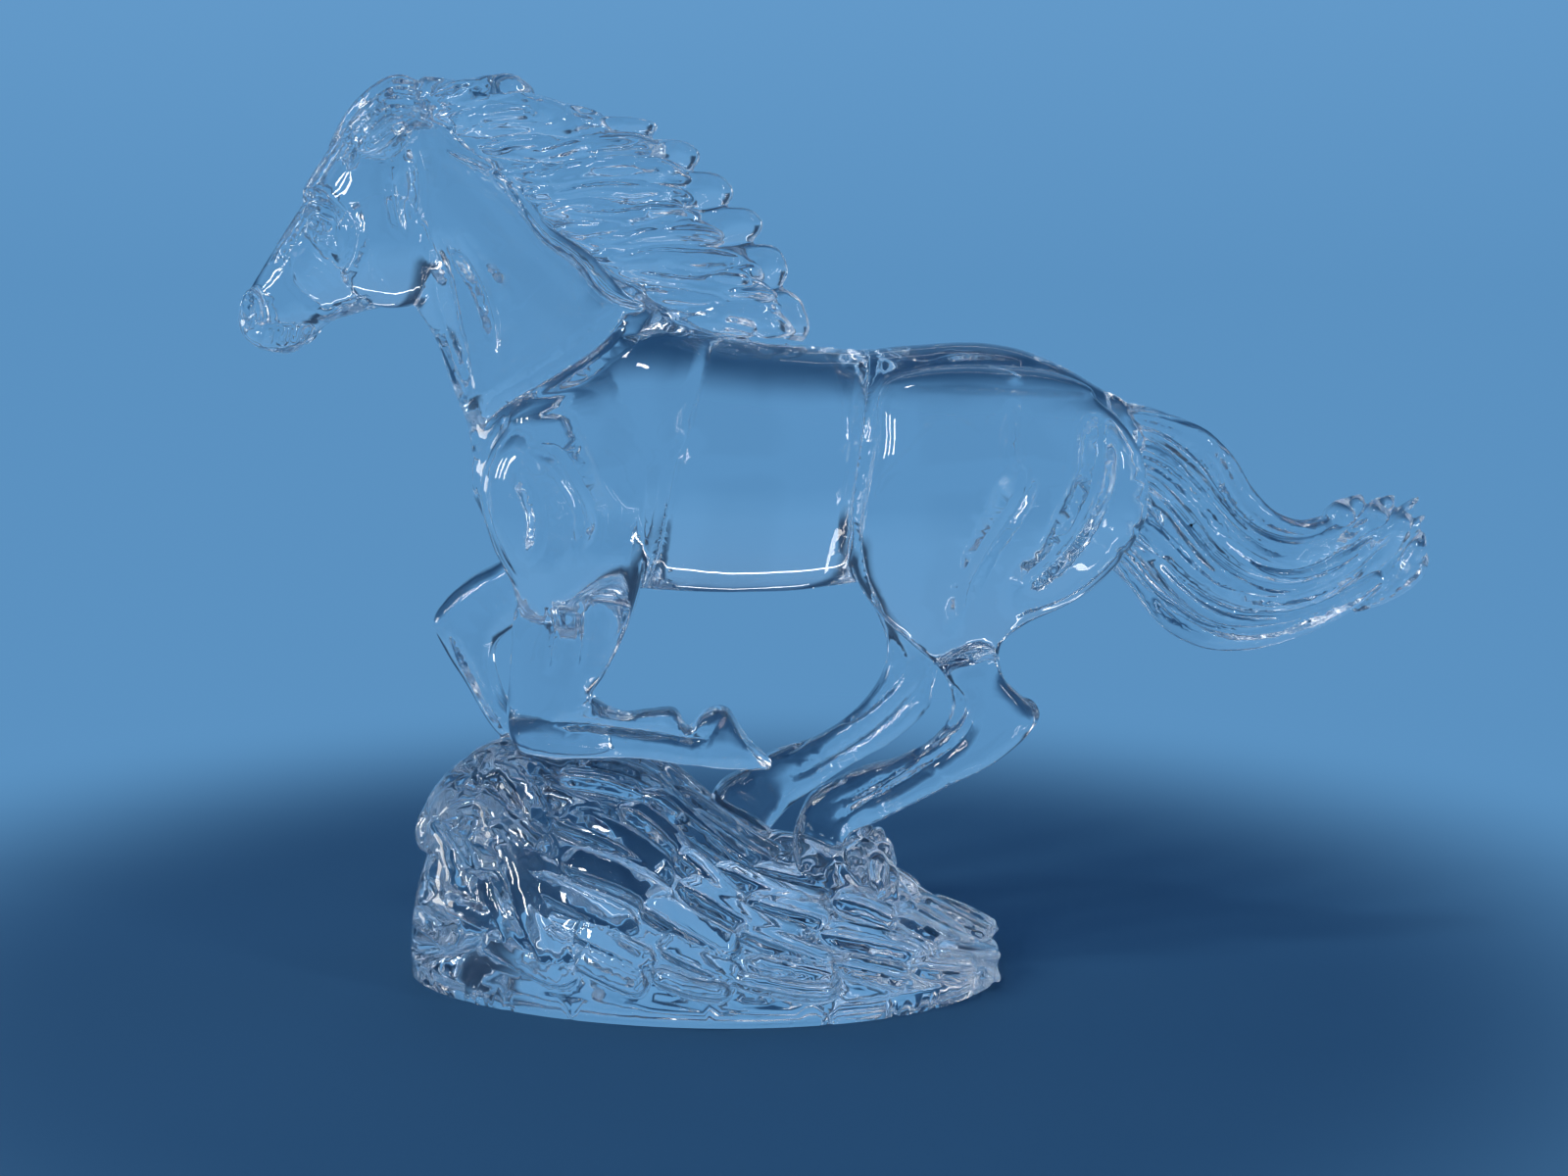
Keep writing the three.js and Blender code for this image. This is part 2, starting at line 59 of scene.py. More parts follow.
def smooth_line(points):
    """Gives a function of the share of the way along a smooth line through the points."""
    line = [Vector(point) for point in points]
    line = [2 * line[0] - line[1], *line, 2 * line[-1] - line[-2]]

    def spot(share):
        turned = min(max(share, 0.0), 1.0) * (len(line) - 3)
        k = min(int(turned), len(line) - 4)
        t = turned - k
        p0, p1, p2, p3 = line[k:k + 4]
        mid = max((p2 - p1).length ** 0.5, 0.01)
        before = (p1 - p0).length ** 0.5 or mid
        after = (p3 - p2).length ** 0.5 or mid
        leave = ((p1 - p0) / before - (p2 - p0) / (before + mid) + (p2 - p1) / mid) * mid
        arrive = ((p2 - p1) / mid - (p3 - p1) / (mid + after) + (p3 - p2) / after) * mid
        bend = 2 * p1 - 2 * p2 + leave + arrive
        return p1 + leave * t + (3 * p2 - 3 * p1 - 2 * leave - arrive) * t * t + bend * t ** 3

    return spot


def squared(value, power):
    """A sine or cosine drawn out, so that an oval with it has a fuller outline."""
    return math.copysign(abs(value) ** (2 / power), value)


def into_the_mould(form):
    """Adds a closed form to the pressing."""
    bmesh.ops.recalc_face_normals(form, faces=form.faces)
    form.to_mesh(form_mesh)
    form.free()
    pressing.from_mesh(form_mesh)


def oval_body(sections, sides, power=2.0):
    """A closed body over oval sections, each a middle and its two half axes in metres."""
    rows = len(sections) - 1
    form = bmesh.new()
    bmesh.ops.create_uvsphere(form, u_segments=sides, v_segments=rows, radius=1)
    for vert in form.verts:
        row = round(rows * math.acos(max(-1.0, min(1.0, vert.co.z))) / math.pi)
        turn = math.atan2(vert.co.y, vert.co.x)
        middle, across, out = sections[row]
        vert.co = middle + across * squared(math.cos(turn), power) + out * squared(math.sin(turn), power)
    into_the_mould(form)


def body_between(stations, rows, sides, power=2.0):
    """A body between two outlines of the side view, with round ends. Each station gives a spot on
    one outline, its partner on the other, the sideways place and the half thickness, in units."""
    first = smooth_line([(x, y, z) for x, z, _, _, y, _ in stations])
    second = smooth_line([(x, y, z) for _, _, x, z, y, _ in stations])
    girth = smooth_line([(station[5], k, 0) for k, station in enumerate(stations)])
    last = len(stations) - 1
    sections = []
    for row in range(rows + 1):
        turned = last * row / rows
        cap = min(turned, last - turned, 1.0)
        end = first(0) if turned < 1 else first(1)
        share = (1 if turned < 1 else last - 1) / last if cap < 1 else turned / last
        one, other, thick = first(share), second(share), girth(share).x
        full = math.sin(0.5 * math.pi * cap)
        middle = end.lerp((one + other) / 2, 1 - math.cos(0.5 * math.pi * cap))
        if cap == 1:
            middle = (one + other) / 2
        sections.append((
            placed(middle),
            placed((one - other) / 2 * full),
            Vector((0, max(thick, 0.05) * SIDE_UNIT * full, 0)),
        ))
    oval_body(sections, sides, power)


def bulge(middle, half_sizes, tilt=0.0, power=2.0):
    """A rounded swelling of muscle or bone: a middle and half sizes in units, tilted in side view."""
    rows = 28
    lean = math.radians(tilt)
    along = Vector((math.cos(lean) * UNIT, 0, math.sin(lean) * UNIT)) * half_sizes[0]
    across = Vector((-math.sin(lean) * UNIT, 0, math.cos(lean) * UNIT)) * half_sizes[2]
    out = Vector((0, SIDE_UNIT, 0)) * half_sizes[1]
    sections = []
    for row in range(rows + 1):
        turn = math.pi * row / rows
        full = abs(math.sin(turn)) ** (2 / power)
        middle_here = placed(middle) + along * squared(math.cos(turn), power)
        sections.append((middle_here, across * full, out * full))
    oval_body(sections, 32)


body_between([
    (-19.3, 43.2, -19.3, 43.2, 0, 0),
    (-18.7, 46.3, -18.8, 40.1, 0, 3.4),
    (-16.1, 49.6, -16.4, 36.4, 0, 5.9),
    (-12.8, 52.5, -13.1, 34.2, 0, 7.4),
    (-9.5, 54.5, -9.8, 33.4, 0, 8.4),
    (-4.6, 55.7, -4.8, 33.1, 0, 9.4),
    (0.3, 54.6, 0.2, 32.9, 0, 10.0),
    (5.2, 53.7, 5.1, 32.9, 0, 10.2),
    (9.3, 53.4, 9.3, 33.2, 0, 9.7),
    (13.3, 53.1, 13.4, 33.7, 0, 8.4),
    (17.4, 53.5, 17.6, 34.2, 0, 8.0),
    (21.5, 53.8, 21.7, 34.6, 0, 7.8),
    (25.6, 53.4, 25.9, 34.8, 0, 7.8),
    (29.7, 51.9, 30.0, 34.8, 0, 6.9),
    (33.0, 50.0, 33.3, 35.6, 0, 5.4),
    (35.5, 48.6, 35.7, 37.7, 0, 3.6),
    (37.2, 42.6, 37.2, 42.6, 0, 0),
], 150, 128, 2.25)
# Breast muscles hang in two lobes between the forelegs, and the thighs are joined on the inside
for x, z in ((-13.6, 34.9), (-10.9, 33.5)):
    bulge((x, 0, z), (1.5, 2.6, 3.6), -4, 2.0)
body_between([
    (14.2, 38.5, 32.0, 38.0, 0, 0),
    (14.2, 36.5, 30.6, 35.8, 0, 3.0),
    (14.6, 33.8, 28.4, 32.8, 0, 3.0),
    (16.0, 31.0, 25.4, 30.4, 0, 2.8),
    (18.0, 28.9, 23.6, 28.4, 0, 2.0),
    (20.8, 27.4, 20.8, 27.4, 0, 0),
], 60, 48)

# NECK
# The arched neck, flat-sided and drawn in at the throat. It runs deep into the shoulder, and the
# crease where it meets the shoulder blade is as crisp as the mould left it.
body_between([
    (-3, 45, -3, 45, 0, 0),
    (2.5, 53.2, -15.5, 38.5, 0, 6.6),
    (-3.2, 57.0, -18.9, 42.8, 0, 7.0),
    (-8.0, 60.0, -19.6, 46.8, 0, 5.9),
    (-12.0, 63.6, -21.0, 50.4, 0, 5.0),
    (-15.6, 67.2, -22.0, 53.6, 0, 4.5),
    (-19.4, 70.6, -23.6, 56.4, 0, 4.1),
    (-22.6, 72.8, -25.8, 59.4, 0, 3.7),
    (-25.5, 68.5, -25.5, 68.5, 0, 0),
], 110, 96, 2.4)
# The windpipe and the long neck muscle stand out a little on each side
for side in (-1, 1):
    bulge((-19.4, 1.7 * side, 53.0), (6.2, 2.0, 1.5), -70)
    bulge((-14.2, 2.4 * side, 56.0), (8.6, 2.9, 2.7), -52)

# HEAD
# A dry, lean head: forehead and straight nose, round cheek, a full muzzle with its nostril and
# mouth, and the eye under its brow.
body_between([
    (-23.4, 74.0, -23.4, 74.0, 0, 0),
    (-25.6, 74.0, -20.6, 70.2, 0, 2.6),
    (-28.3, 71.7, -21.4, 65.0, 0, 3.6),
    (-30.6, 68.5, -22.8, 60.6, 0, 4.0),
    (-32.3, 66.0, -25.2, 57.2, 0, 3.9),
    (-33.8, 63.8, -28.5, 56.2, 0, 3.3),
    (-35.4, 61.4, -30.8, 55.5, 0, 2.8),
    (-37.1, 58.8, -32.5, 54.2, 0, 2.6),
    (-38.4, 56.4, -34.2, 52.9, 0, 2.6),
    (-38.2, 54.7, -36.3, 53.1, 0, 2.0),
    (-37.4, 53.8, -37.4, 53.8, 0, 0),
], 110, 80, 2.3)
for side in (-1, 1):
    bulge((-25.6, 1.5 * side, 61.8), (5.0, 3.6, 5.2), -30, 2.2)
    bulge((-31.0, 3.1 * side, 63.2), (1.2, 1.3, 0.9), -35)
    bulge((-30.4, 2.9 * side, 64.8), (2.2, 1.2, 0.8), -42)
    bulge((-29.6, 3.0 * side, 61.2), (2.6, 1.1, 0.6), -38)
    bulge((-36.6, 1.8 * side, 56.5), (1.2, 1.1, 1.8), 12)
    bulge((-34.6, 1.5 * side, 54.6), (2.6, 1.3, 1.4), 12)
    bulge((-31.6, 1.4 * side, 56.6), (2.6, 1.3, 1.0), 10)

# LEGS
# The forelegs fold under the chest and the hind legs reach forward, so that all four run down to
# the mound. Knees, hocks, tendons and hooves are plain and rounded, as pressed crystal is.
LEG_SIDES = 72


def near_foreleg():
    body_between([
        (-11, 50.5, -11, 50.5, -5, 0),
        (-15.8, 47.0, -5.2, 49.8, -5.4, 2.8),
        (-17.8, 42.4, -2.4, 44.8, -5.6, 4.3),
        (-16.9, 37.6, -3.8, 38.8, -5.2, 4.4),
        (-15.3, 33.6, -5.0, 33.6, -4.5, 3.8),
        (-15.6, 30.3, -6.2, 30.3, -4.1, 3.3),
        (-16.0, 26.1, -8.0, 26.5, -3.8, 2.8),
        (-16.3, 22.8, -9.2, 24.6, -3.7, 2.6),
        (-15.6, 20.2, -8.9, 24.3, -3.7, 2.5),
        (-12.8, 19.4, -8.6, 24.1, -3.7, 2.3),
        (-9.4, 19.3, -8.0, 23.7, -3.7, 2.0),
        (-6.6, 19.3, -6.6, 23.2, -3.7, 1.7),
        (-4.4, 19.1, -4.4, 23.4, -3.7, 1.7),
        (-1.8, 18.7, -2.3, 23.4, -3.7, 2.0),
        (-0.3, 18.6, -1.2, 21.9, -3.7, 1.8),
        (1.0, 18.4, 0.0, 23.2, -3.7, 2.0),
        (3.2, 18.4, 1.9, 23.5, -3.7, 2.2),
        (5.7, 18.6, 3.8, 20.4, -3.7, 2.0),
        (5.3, 19.2, 5.3, 19.2, -3.7, 0),
    ], 220, LEG_SIDES, 3.6)


def far_foreleg():
    body_between([
        (-11, 50.5, -11, 50.5, 5, 0),
        (-15.8, 47.0, -5.2, 49.8, 5.4, 2.8),
        (-17.8, 42.4, -2.4, 44.8, 5.6, 4.3),
        (-17.3, 37.8, -6.4, 37.2, 5.2, 4.3),
        (-17.2, 35.3, -12.6, 31.6, 4.6, 3.5),
        (-20.2, 33.4, -16.3, 29.4, 4.0, 2.8),
        (-22.4, 31.5, -17.9, 28.0, 3.8, 2.5),
        (-23.4, 29.8, -18.4, 26.4, 3.8, 2.4),
        (-22.5, 27.4, -18.0, 24.6, 3.8, 2.1),
        (-20.9, 24.6, -17.4, 22.9, 3.8, 1.8),
        (-19.2, 21.4, -16.2, 21.6, 3.8, 1.8),
        (-17.9, 19.7, -15.2, 22.0, 3.8, 1.7),
        (-16.0, 19.0, -12.6, 22.2, 3.8, 1.9),
        (-12.8, 18.8, -9.8, 21.6, 3.8, 2.1),
        (-10.4, 18.9, -8.9, 20.4, 3.8, 1.8),
        (-9.4, 19.5, -9.4, 19.5, 3.8, 0),
    ], 190, LEG_SIDES, 3.6)


def near_hindleg():
    body_between([
        (24, 52.0, 24, 52.0, -4.6, 0),
        (14.6, 50.2, 32.0, 49.4, -5.2, 3.4),
        (13.6, 45.5, 35.6, 45.0, -5.7, 5.0),
        (12.2, 40.0, 36.0, 39.4, -5.5, 5.2),
        (12.4, 35.4, 31.8, 33.8, -4.9, 4.6),
        (14.6, 31.7, 26.4, 30.8, -4.3, 3.6),
        (17.4, 29.0, 24.7, 28.8, -4.0, 2.7),
        (19.8, 26.8, 25.1, 26.2, -3.9, 2.2),
        (20.8, 24.6, 26.9, 24.2, -3.9, 2.2),
        (20.5, 22.4, 27.6, 22.2, -3.9, 2.1),
        (19.1, 20.7, 25.2, 19.6, -3.9, 1.9),
        (16.6, 19.3, 21.4, 17.4, -3.9, 1.7),
        (13.8, 18.5, 17.6, 15.4, -3.9, 1.7),
        (11.4, 17.5, 14.8, 14.0, -3.9, 1.9),
        (9.2, 16.3, 12.6, 13.0, -3.9, 1.8),
        (8.0, 14.2, 11.8, 11.6, -3.9, 1.8),
        (7.5, 12.1, 12.2, 9.8, -3.9, 2.2),
        (8.6, 8.6, 13.2, 8.2, -3.9, 2.4),
        (10.8, 5.2, 10.8, 5.2, -3.9, 0),
    ], 220, LEG_SIDES, 3.6)


def far_hindleg():
    body_between([
        (24, 52.0, 24, 52.0, 4.6, 0),
        (14.6, 50.2, 32.0, 49.2, 5.2, 3.4),
        (13.6, 45.5, 35.2, 44.8, 5.7, 5.0),
        (12.2, 40.0, 35.2, 39.2, 5.5, 5.2),
        (12.4, 35.4, 30.4, 34.0, 4.9, 4.5),
        (14.6, 30.9, 23.0, 29.4, 4.3, 3.3),
        (15.6, 28.2, 20.8, 27.0, 4.0, 2.5),
        (15.6, 26.0, 20.0, 24.6, 3.9, 2.2),
        (14.4, 23.5, 19.2, 21.8, 3.9, 2.1),
        (12.1, 21.0, 16.0, 18.9, 3.9, 1.8),
        (9.0, 19.2, 12.6, 17.0, 3.9, 1.7),
        (6.0, 18.2, 10.0, 15.2, 3.9, 1.9),
        (3.6, 16.7, 7.4, 13.4, 3.9, 1.8),
        (1.2, 15.3, 5.8, 11.6, 3.9, 2.2),
        (0.0, 12.8, 4.0, 9.4, 3.9, 2.2),
        (1.6, 9.4, 1.6, 9.4, 3.9, 0),
    ], 190, LEG_SIDES, 3.6)


near_foreleg()
far_foreleg()
near_hindleg()
far_hindleg()
# The round point of each hock
bulge((26.6, -3.9, 23.0), (1.6, 1.5, 1.5))
bulge((18.6, 3.9, 22.9), (1.2, 1.4, 1.4))

# MANE
# One sheet of hair that stands up from the crest of the neck and streams back to eight blunt tips.
# Long strands and short lens-shaped ones lie on both of its faces, carved in the mould.
MANE_LOCKS = 8
MANE_STRANDS = 12
SHORT_STRANDS = 9
HIDDEN_SHORT_STRANDS = 3
mane_roots = smooth_line([
    (-24.6, 0, 71.0), (-20.0, 0, 68.2), (-15.6, 0, 64.8), (-11.6, 0, 60.0), (-6.6, 0, 56.2), (-1.0, 0, 53.4),
])
mane_tips = smooth_line([
    (-21.6, 0, 75.2), (-8.8, 0, 72.6), (-1.6, 0, 70.6), (3.0, 0, 66.0), (6.6, 0, 61.4), (9.6, 0, 53.6),
])
# Where the strands start along the crest, and where each of them ends
strand_roots = smooth_line([
    (-22.8, 0, 73.9), (-22.2, 0, 72.1), (-21.0, 0, 70.2), (-16.6, 0, 67.5), (-14.4, 0, 65.2),
    (-12.4, 0, 62.8), (-9.2, 0, 60.6), (-6.2, 0, 58.0), (-2.2, 0, 55.4),
])
strand_tips = smooth_line([
    (-15.0, 0, 74.6), (-8.5, 0, 71.8), (-2.1, 0, 69.8), (2.0, 0, 66.9), (2.9, 0, 64.2), (5.6, 0, 61.3),
    (7.8, 0, 58.5), (9.3, 0, 55.7), (8.6, 0, 53.9),
])


def scatter(number):
    """A repeatable spread of values from 0 to 1, so that no two strands or blades are alike."""
    turned = math.sin(number * 12.9898 + 4.137) * 43758.5453
    return turned - math.floor(turned)


def groove(across, locks):
    """How deep the groove is across a fan of locks: 1 between two of them, 0 on a ridge."""
    turned = across * locks
    return abs(2 * (turned - math.floor(turned)) - 1)


def ease(value, low, high):
    """0 below low, 1 above high, and smooth between."""
    share = min(max((value - low) / (high - low), 0.0), 1.0)
    return share * share * (3 - 2 * share)


def mix(one, other, share):
    return one + (other - one) * share


def fan(place_at, thickness_at, steps, rows):
    """A pillow of hair: two sheets that meet in a rounded edge."""
    pillow = bmesh.new()
    for side in (-1, 1):
        grid = bmesh.ops.create_grid(pillow, x_segments=steps, y_segments=rows, size=1)
        for vert in grid["verts"]:
            along = 0.5 + 0.5 * vert.co.x
            across = 0.5 + 0.5 * vert.co.y
            rim = min(1.0, min(along, 1 - along) * 14, min(across, 1 - across) * 30)
            spot = placed(place_at(along, across))
            spot.y = side * thickness_at(along, across) * math.sqrt(max(0.0, 1 - (1 - rim) ** 2)) * SIDE_UNIT
            vert.co = spot
    bmesh.ops.remove_doubles(pillow, verts=pillow.verts, dist=1e-7)
    into_the_mould(pillow)


def lock(path, half_width, half_thickness, outward=Vector((0, 1, 0)), root=0.3, tip=0.4, power=2.0,
         rows=26, sides=14):
    """One lock or blade along a path in metres: round at its root and blunt at its tip."""
    line = smooth_line(path)
    sections = []
    for row in range(rows + 1):
        share = 0.5 - 0.5 * math.cos(math.pi * row / rows)
        full = math.sqrt(min(1.0, share / root)) * math.sqrt(min(1.0, (1 - share) / tip))
        heading = (line(share + 0.01) - line(share - 0.01)).normalized()
        across = outward.cross(heading).normalized()
        out = heading.cross(across) * half_thickness * full
        sections.append((line(share), across * half_width * full, out))
    oval_body(sections, sides, power)


def mane_place(along, across):
    scallop = 0.13 * groove(across, MANE_LOCKS) ** 3
    spot = mane_roots(across).lerp(mane_tips(across), along * (1 - scallop * along))
    lift = mix(2.2, 0.6, across) * math.sin(math.pi * along)
    spot.z += lift + 0.5 * along * (scatter(int(across * MANE_LOCKS)) - 0.5)
    return spot


def mane_thickness(along, across):
    cut = 1 - 0.4 * groove(across, MANE_LOCKS) ** 2 * ease(along, 0, 0.3)
    return mix(2.4, 1.2, along) * cut


def mane_strand(across, start, end, side, half_width, proud):
    """A strand on one face of the mane, along the flow of the hair."""
    first, final = strand_roots(across), strand_tips(across)
    path = []
    for step in range(6):
        along = mix(start, end, step / 5)
        spot = first.lerp(final, along)
        spot.z += 0.9 * math.sin(math.pi * along) * (1 - across) + 0.25 * math.sin(9 * along + 23 * across)
        spot.y = side * (mix(2.4, 1.2, along) * mix(1, 0.6, ease(along, 0.75, 1)) - proud)
        path.append(placed(spot))
    lock(path, half_width * UNIT, 1.2 * SIDE_UNIT, root=0.3, tip=0.2, rows=36)


fan(mane_place, mane_thickness, 60, 200)
for side in (-1, 1):
    for k in range(MANE_STRANDS):
        seed = 31 * k + 7
        across = (k + 0.5 + 0.2 * (scatter(seed) - 0.5)) / MANE_STRANDS
        start, end = 0.02 + 0.08 * scatter(seed + 1), 0.78 + 0.12 * scatter(seed + 2)
        mane_strand(across, start, end, side, 0.95 + 0.25 * scatter(seed + 3), 0.1)
    for k in range(SHORT_STRANDS if side < 0 else HIDDEN_SHORT_STRANDS):
        seed = 57 * k + 11
        across = (k + 0.2 + 0.6 * scatter(seed)) / SHORT_STRANDS
        start = 0.2 + 0.35 * scatter(seed + 1)
        end = start + 0.2 + 0.12 * scatter(seed + 2)
        mane_strand(across, start, end, side, 0.5 + 0.25 * scatter(seed + 3), -0.3)
    # The rolled edge where the mane springs from the neck
    roll = [(-20.6, 69.4), (-15.9, 66.9), (-12.6, 62.8), (-9.6, 60.6), (-7.0, 57.9), (-4.4, 56.8)]
    edge = [placed((x, side * mix(3.4, 4.6, k / 5), z)) for k, (x, z) in enumerate(roll)]
    lock(edge, 0.75 * UNIT, 1.5 * SIDE_UNIT, root=0.7, tip=0.25, rows=36)

# EARS AND FORELOCK
# The ears lie back along the poll, and a heavy forelock is blown over the brow in thick strands.
FORELOCK_STRANDS = 5


def forelock_line(high, side):
    """The side view line of a strand of the forelock: 0 is the lowest, 1 the highest."""
    return [
        (mix(-21.8, -22.6, high), side * mix(2.7, 0.6, high), mix(71.4, 74.6, high)),
        (mix(-25.0, -24.8, high), side * mix(3.8, 1.0, high), mix(71.9, 75.0, high)),
        (mix(-27.2, -28.0, high), side * mix(3.9, 1.1, high), mix(69.9, 72.9, high)),
        (mix(-28.6, -30.6, high), side * mix(3.5, 1.0, high), mix(67.9, 69.4, high)),
    ]


for side in (-1, 1):
    ear = [(-27.8, side * 3.0, 68.9), (-26.2, side * 4.1, 70.0), (-24.4, side * 4.3, 71.2),
           (-22.6, side * 3.8, 72.0)]
    lock([placed(spot) for spot in ear], 1.25 * UNIT, 1.1 * SIDE_UNIT, root=0.5, tip=0.7)
    for k in range(FORELOCK_STRANDS):
        strand = [placed(spot) for spot in forelock_line(k / (FORELOCK_STRANDS - 1), side)]
        half_width = mix(0.42, 0.55, scatter(k + 3)) * UNIT
        lock(strand, half_width, 1.0 * SIDE_UNIT, tip=0.4, power=2.4, rows=34)
    for k in range(FORELOCK_STRANDS):
        # Rough ends that lie down the face as far as the brow
        down = k / (FORELOCK_STRANDS - 1)
        x, z = mix(-29.2, -32.0, down), mix(70.4, 66.4, down)
        end = [(x + 1.2, side * 0.9, z + 1.5), (x + 0.1, side * 1.3, z), (x - 0.6, side * 1.1, z - 1.5)]
        lock([placed(spot) for spot in end], 0.55 * UNIT, 0.8 * SIDE_UNIT, tip=0.4, power=3.0)

# TAIL
# A heavy plume that drops from the dock, sweeps back and curls up to five blunt ends. It is carved
# in long flowing strands like the mane.
TAIL_LOCKS = 5
TAIL_STRANDS = 8
tail_top = smooth_line([
    (33.0, 0, 49.2), (38.6, 0, 48.0), (42.6, 0, 45.6), (45.0, 0, 41.6), (48.2, 0, 38.8), (51.6, 0, 38.6),
    (53.8, 0, 41.2),
])
tail_middle = smooth_line([
    (32.6, 0, 43.6), (36.6, 0, 42.6), (39.8, 0, 39.4), (43.4, 0, 35.6), (48.6, 0, 33.6), (54.2, 0, 35.8),
    (59.2, 0, 40.8),
])
tail_bottom = smooth_line([
    (31.6, 0, 37.6), (35.6, 0, 33.6), (39.6, 0, 29.9), (44.6, 0, 28.2), (50.6, 0, 29.4), (56.6, 0, 32.4),
    (61.4, 0, 36.8),
])


def tail_point(along, down):
    if down < 0.5:
        return tail_top(along).lerp(tail_middle(along), 2 * down)
    return tail_middle(along).lerp(tail_bottom(along), 2 * down - 1)


def tail_place(along, across):
    scallop = 0.05 * groove(across, TAIL_LOCKS) ** 2
    swell = 1.6 * math.sin(math.pi * across) * ease(along, 0.8, 1)
    spot = tail_point(along * (0.985 - scallop * along), across)
    return spot + Vector((swell, 0, 0.4 * swell))


def tail_thickness(along, across):
    cut = 1 - 0.4 * groove(across, TAIL_LOCKS) ** 2 * ease(along, 0, 0.2)
    return mix(2.8, 1.1, along) * math.sqrt(math.sin(math.pi * mix(0.06, 0.94, across))) * cut


def tail_strand(across, start, end, side, half_width, proud):
    path = []
    for step in range(8):
        along = mix(start, end, step / 7)
        here = across + 0.03 * math.sin(7 * along + 19 * across)
        spot = tail_place(along, min(max(here, 0.02), 0.98))
        full = math.sqrt(math.sin(math.pi * mix(0.08, 0.92, here)))
        spot.y = side * (tail_thickness(along, 0.5) * full - proud)
        path.append(placed(spot))
    lock(path, half_width * UNIT, 1.15 * SIDE_UNIT, root=0.3, tip=0.25, rows=40)


fan(tail_place, tail_thickness, 110, 120)
for side in (-1, 1):
    for k in range(TAIL_STRANDS):
        seed = 41 * k + 5
        across = (k + 0.5 + 0.3 * (scatter(seed) - 0.5)) / TAIL_STRANDS
        start, end = 0.02 + 0.12 * scatter(seed + 1), 0.76 + 0.2 * scatter(seed + 2)
        tail_strand(across, start, end, side, 0.95 + 0.25 * scatter(seed + 3), 0.0)
    for k in range(TAIL_STRANDS if side < 0 else HIDDEN_SHORT_STRANDS):
        seed = 67 * k + 13
        across = (k + 0.2 + 0.7 * scatter(seed)) / TAIL_STRANDS
        start = 0.05 + 0.55 * scatter(seed + 1)
        end = start + 0.2 + 0.14 * scatter(seed + 2)
        tail_strand(across, start, end, side, 0.45 + 0.2 * scatter(seed + 3), -0.25)
# Five blunt ends curl up and back: the side view place of each tip, and of its root
TAIL_ENDS = [
    (54.0, 40.6, 50.8, 35.6), (57.1, 40.8, 53.0, 34.6), (59.3, 40.2, 54.6, 33.4), (60.8, 37.9, 55.8, 32.0),
    (61.2, 36.0, 55.0, 31.0),
]
for number, (x, z, from_x, from_z) in enumerate(TAIL_ENDS):
    bend = [(from_x, 0, from_z), (mix(from_x, x, 0.55) + 0.5, 0, mix(from_z, z, 0.45)), (x, 0, z)]
    half_width = mix(1.35, 0.95, number / (len(TAIL_ENDS) - 1)) * UNIT
    lock([placed(spot) for spot in bend], half_width, 1.6 * SIDE_UNIT, root=0.8, tip=0.25, rows=40, sides=24)

# MOUND AND GRASS
# The horse stands on an oval mound of tall grass laid over by the wind: blunt blocky blades at the
# high left end, and long rounded ones down the sides. A smooth low rim runs round its foot.
BASE_LENGTH = 0.129
BASE_WIDTH = 0.082
BASE_RIM = 0.0045
MOUND_ROWS = 150
MOUND_SIDES = 160
GRASS_ROWS = 17
GRASS_REACH = 0.9
END_BLADES = 56
CLUMP_STUBS = 40
# Steps that spread the blades evenly along the mound and round it, without a pattern
SPREAD_ALONG = 0.618034
SPREAD_ROUND = 0.7548777
ridge = smooth_line([
    (-25.6, 0, 9.6), (-24.0, 0, 12.0), (-20.8, 0, 15.8), (-16.6, 0, 18.4), (-11.0, 0, 18.0), (-5.6, 0, 17.0),
    (-1.0, 0, 13.6), (4.0, 0, 10.2), (10.0, 0, 8.4), (16.0, 0, 6.4), (20.6, 0, 3.6), (25.6, 0, 1.6),
])
ridge_steps = [ridge(step / 240) for step in range(241)]


def ridge_height(x):
    share = x / UNIT
    for before, after in zip(ridge_steps, ridge_steps[1:]):
        if after.x > share >= before.x:
            return mix(before.z, after.z, (share - before.x) / (after.x - before.x)) * UNIT
    return (ridge_steps[0].z if share < 0 else ridge_steps[-1].z) * UNIT


def plan_width(lengthwise):
    return 0.5 * BASE_WIDTH * math.sqrt(max(0.0, 1 - lengthwise ** 2)) * (1 + 0.1 * lengthwise)


def mound_point(lengthwise, sideways):
    """The smooth mound over a spot of its plan, given as shares of its half sizes."""
    x = 0.5 * BASE_LENGTH * lengthwise
    end = (1 - abs(lengthwise) ** 16) ** 0.5
    crown = end * (1 - abs(sideways) ** 2.2) ** 0.7
    top = max(ridge_height(x), BASE_RIM + 0.001)
    return Vector((x, plan_width(lengthwise) * sideways, mix(BASE_RIM, top, crown)))


def mound_outward(lengthwise, sideways):
    """The direction square to the smooth mound."""
    step = 0.02
    back = mound_point(max(lengthwise - step, -0.999), sideways)
    fore = mound_point(min(lengthwise + step, 0.999), sideways)
    down = mound_point(lengthwise, max(sideways - step, -0.999))
    up = mound_point(lengthwise, min(sideways + step, 0.999))
    return (fore - back).cross(up - down).normalized()


hill = bmesh.new()
bmesh.ops.create_uvsphere(hill, u_segments=MOUND_SIDES, v_segments=MOUND_ROWS, radius=1)
for vert in hill.verts:
    lengthwise = max(-0.9999, min(0.9999, -vert.co.z))
    turn = math.atan2(vert.co.y, vert.co.x) / math.pi
    if turn >= 0:
        vert.co = mound_point(lengthwise, math.sin(0.5 * math.pi * (2 * turn - 1)))
    else:
        half = plan_width(lengthwise)
        vert.co = (0.5 * BASE_LENGTH * lengthwise, half * (-1 - 2 * turn), -0.003)
into_the_mould(hill)


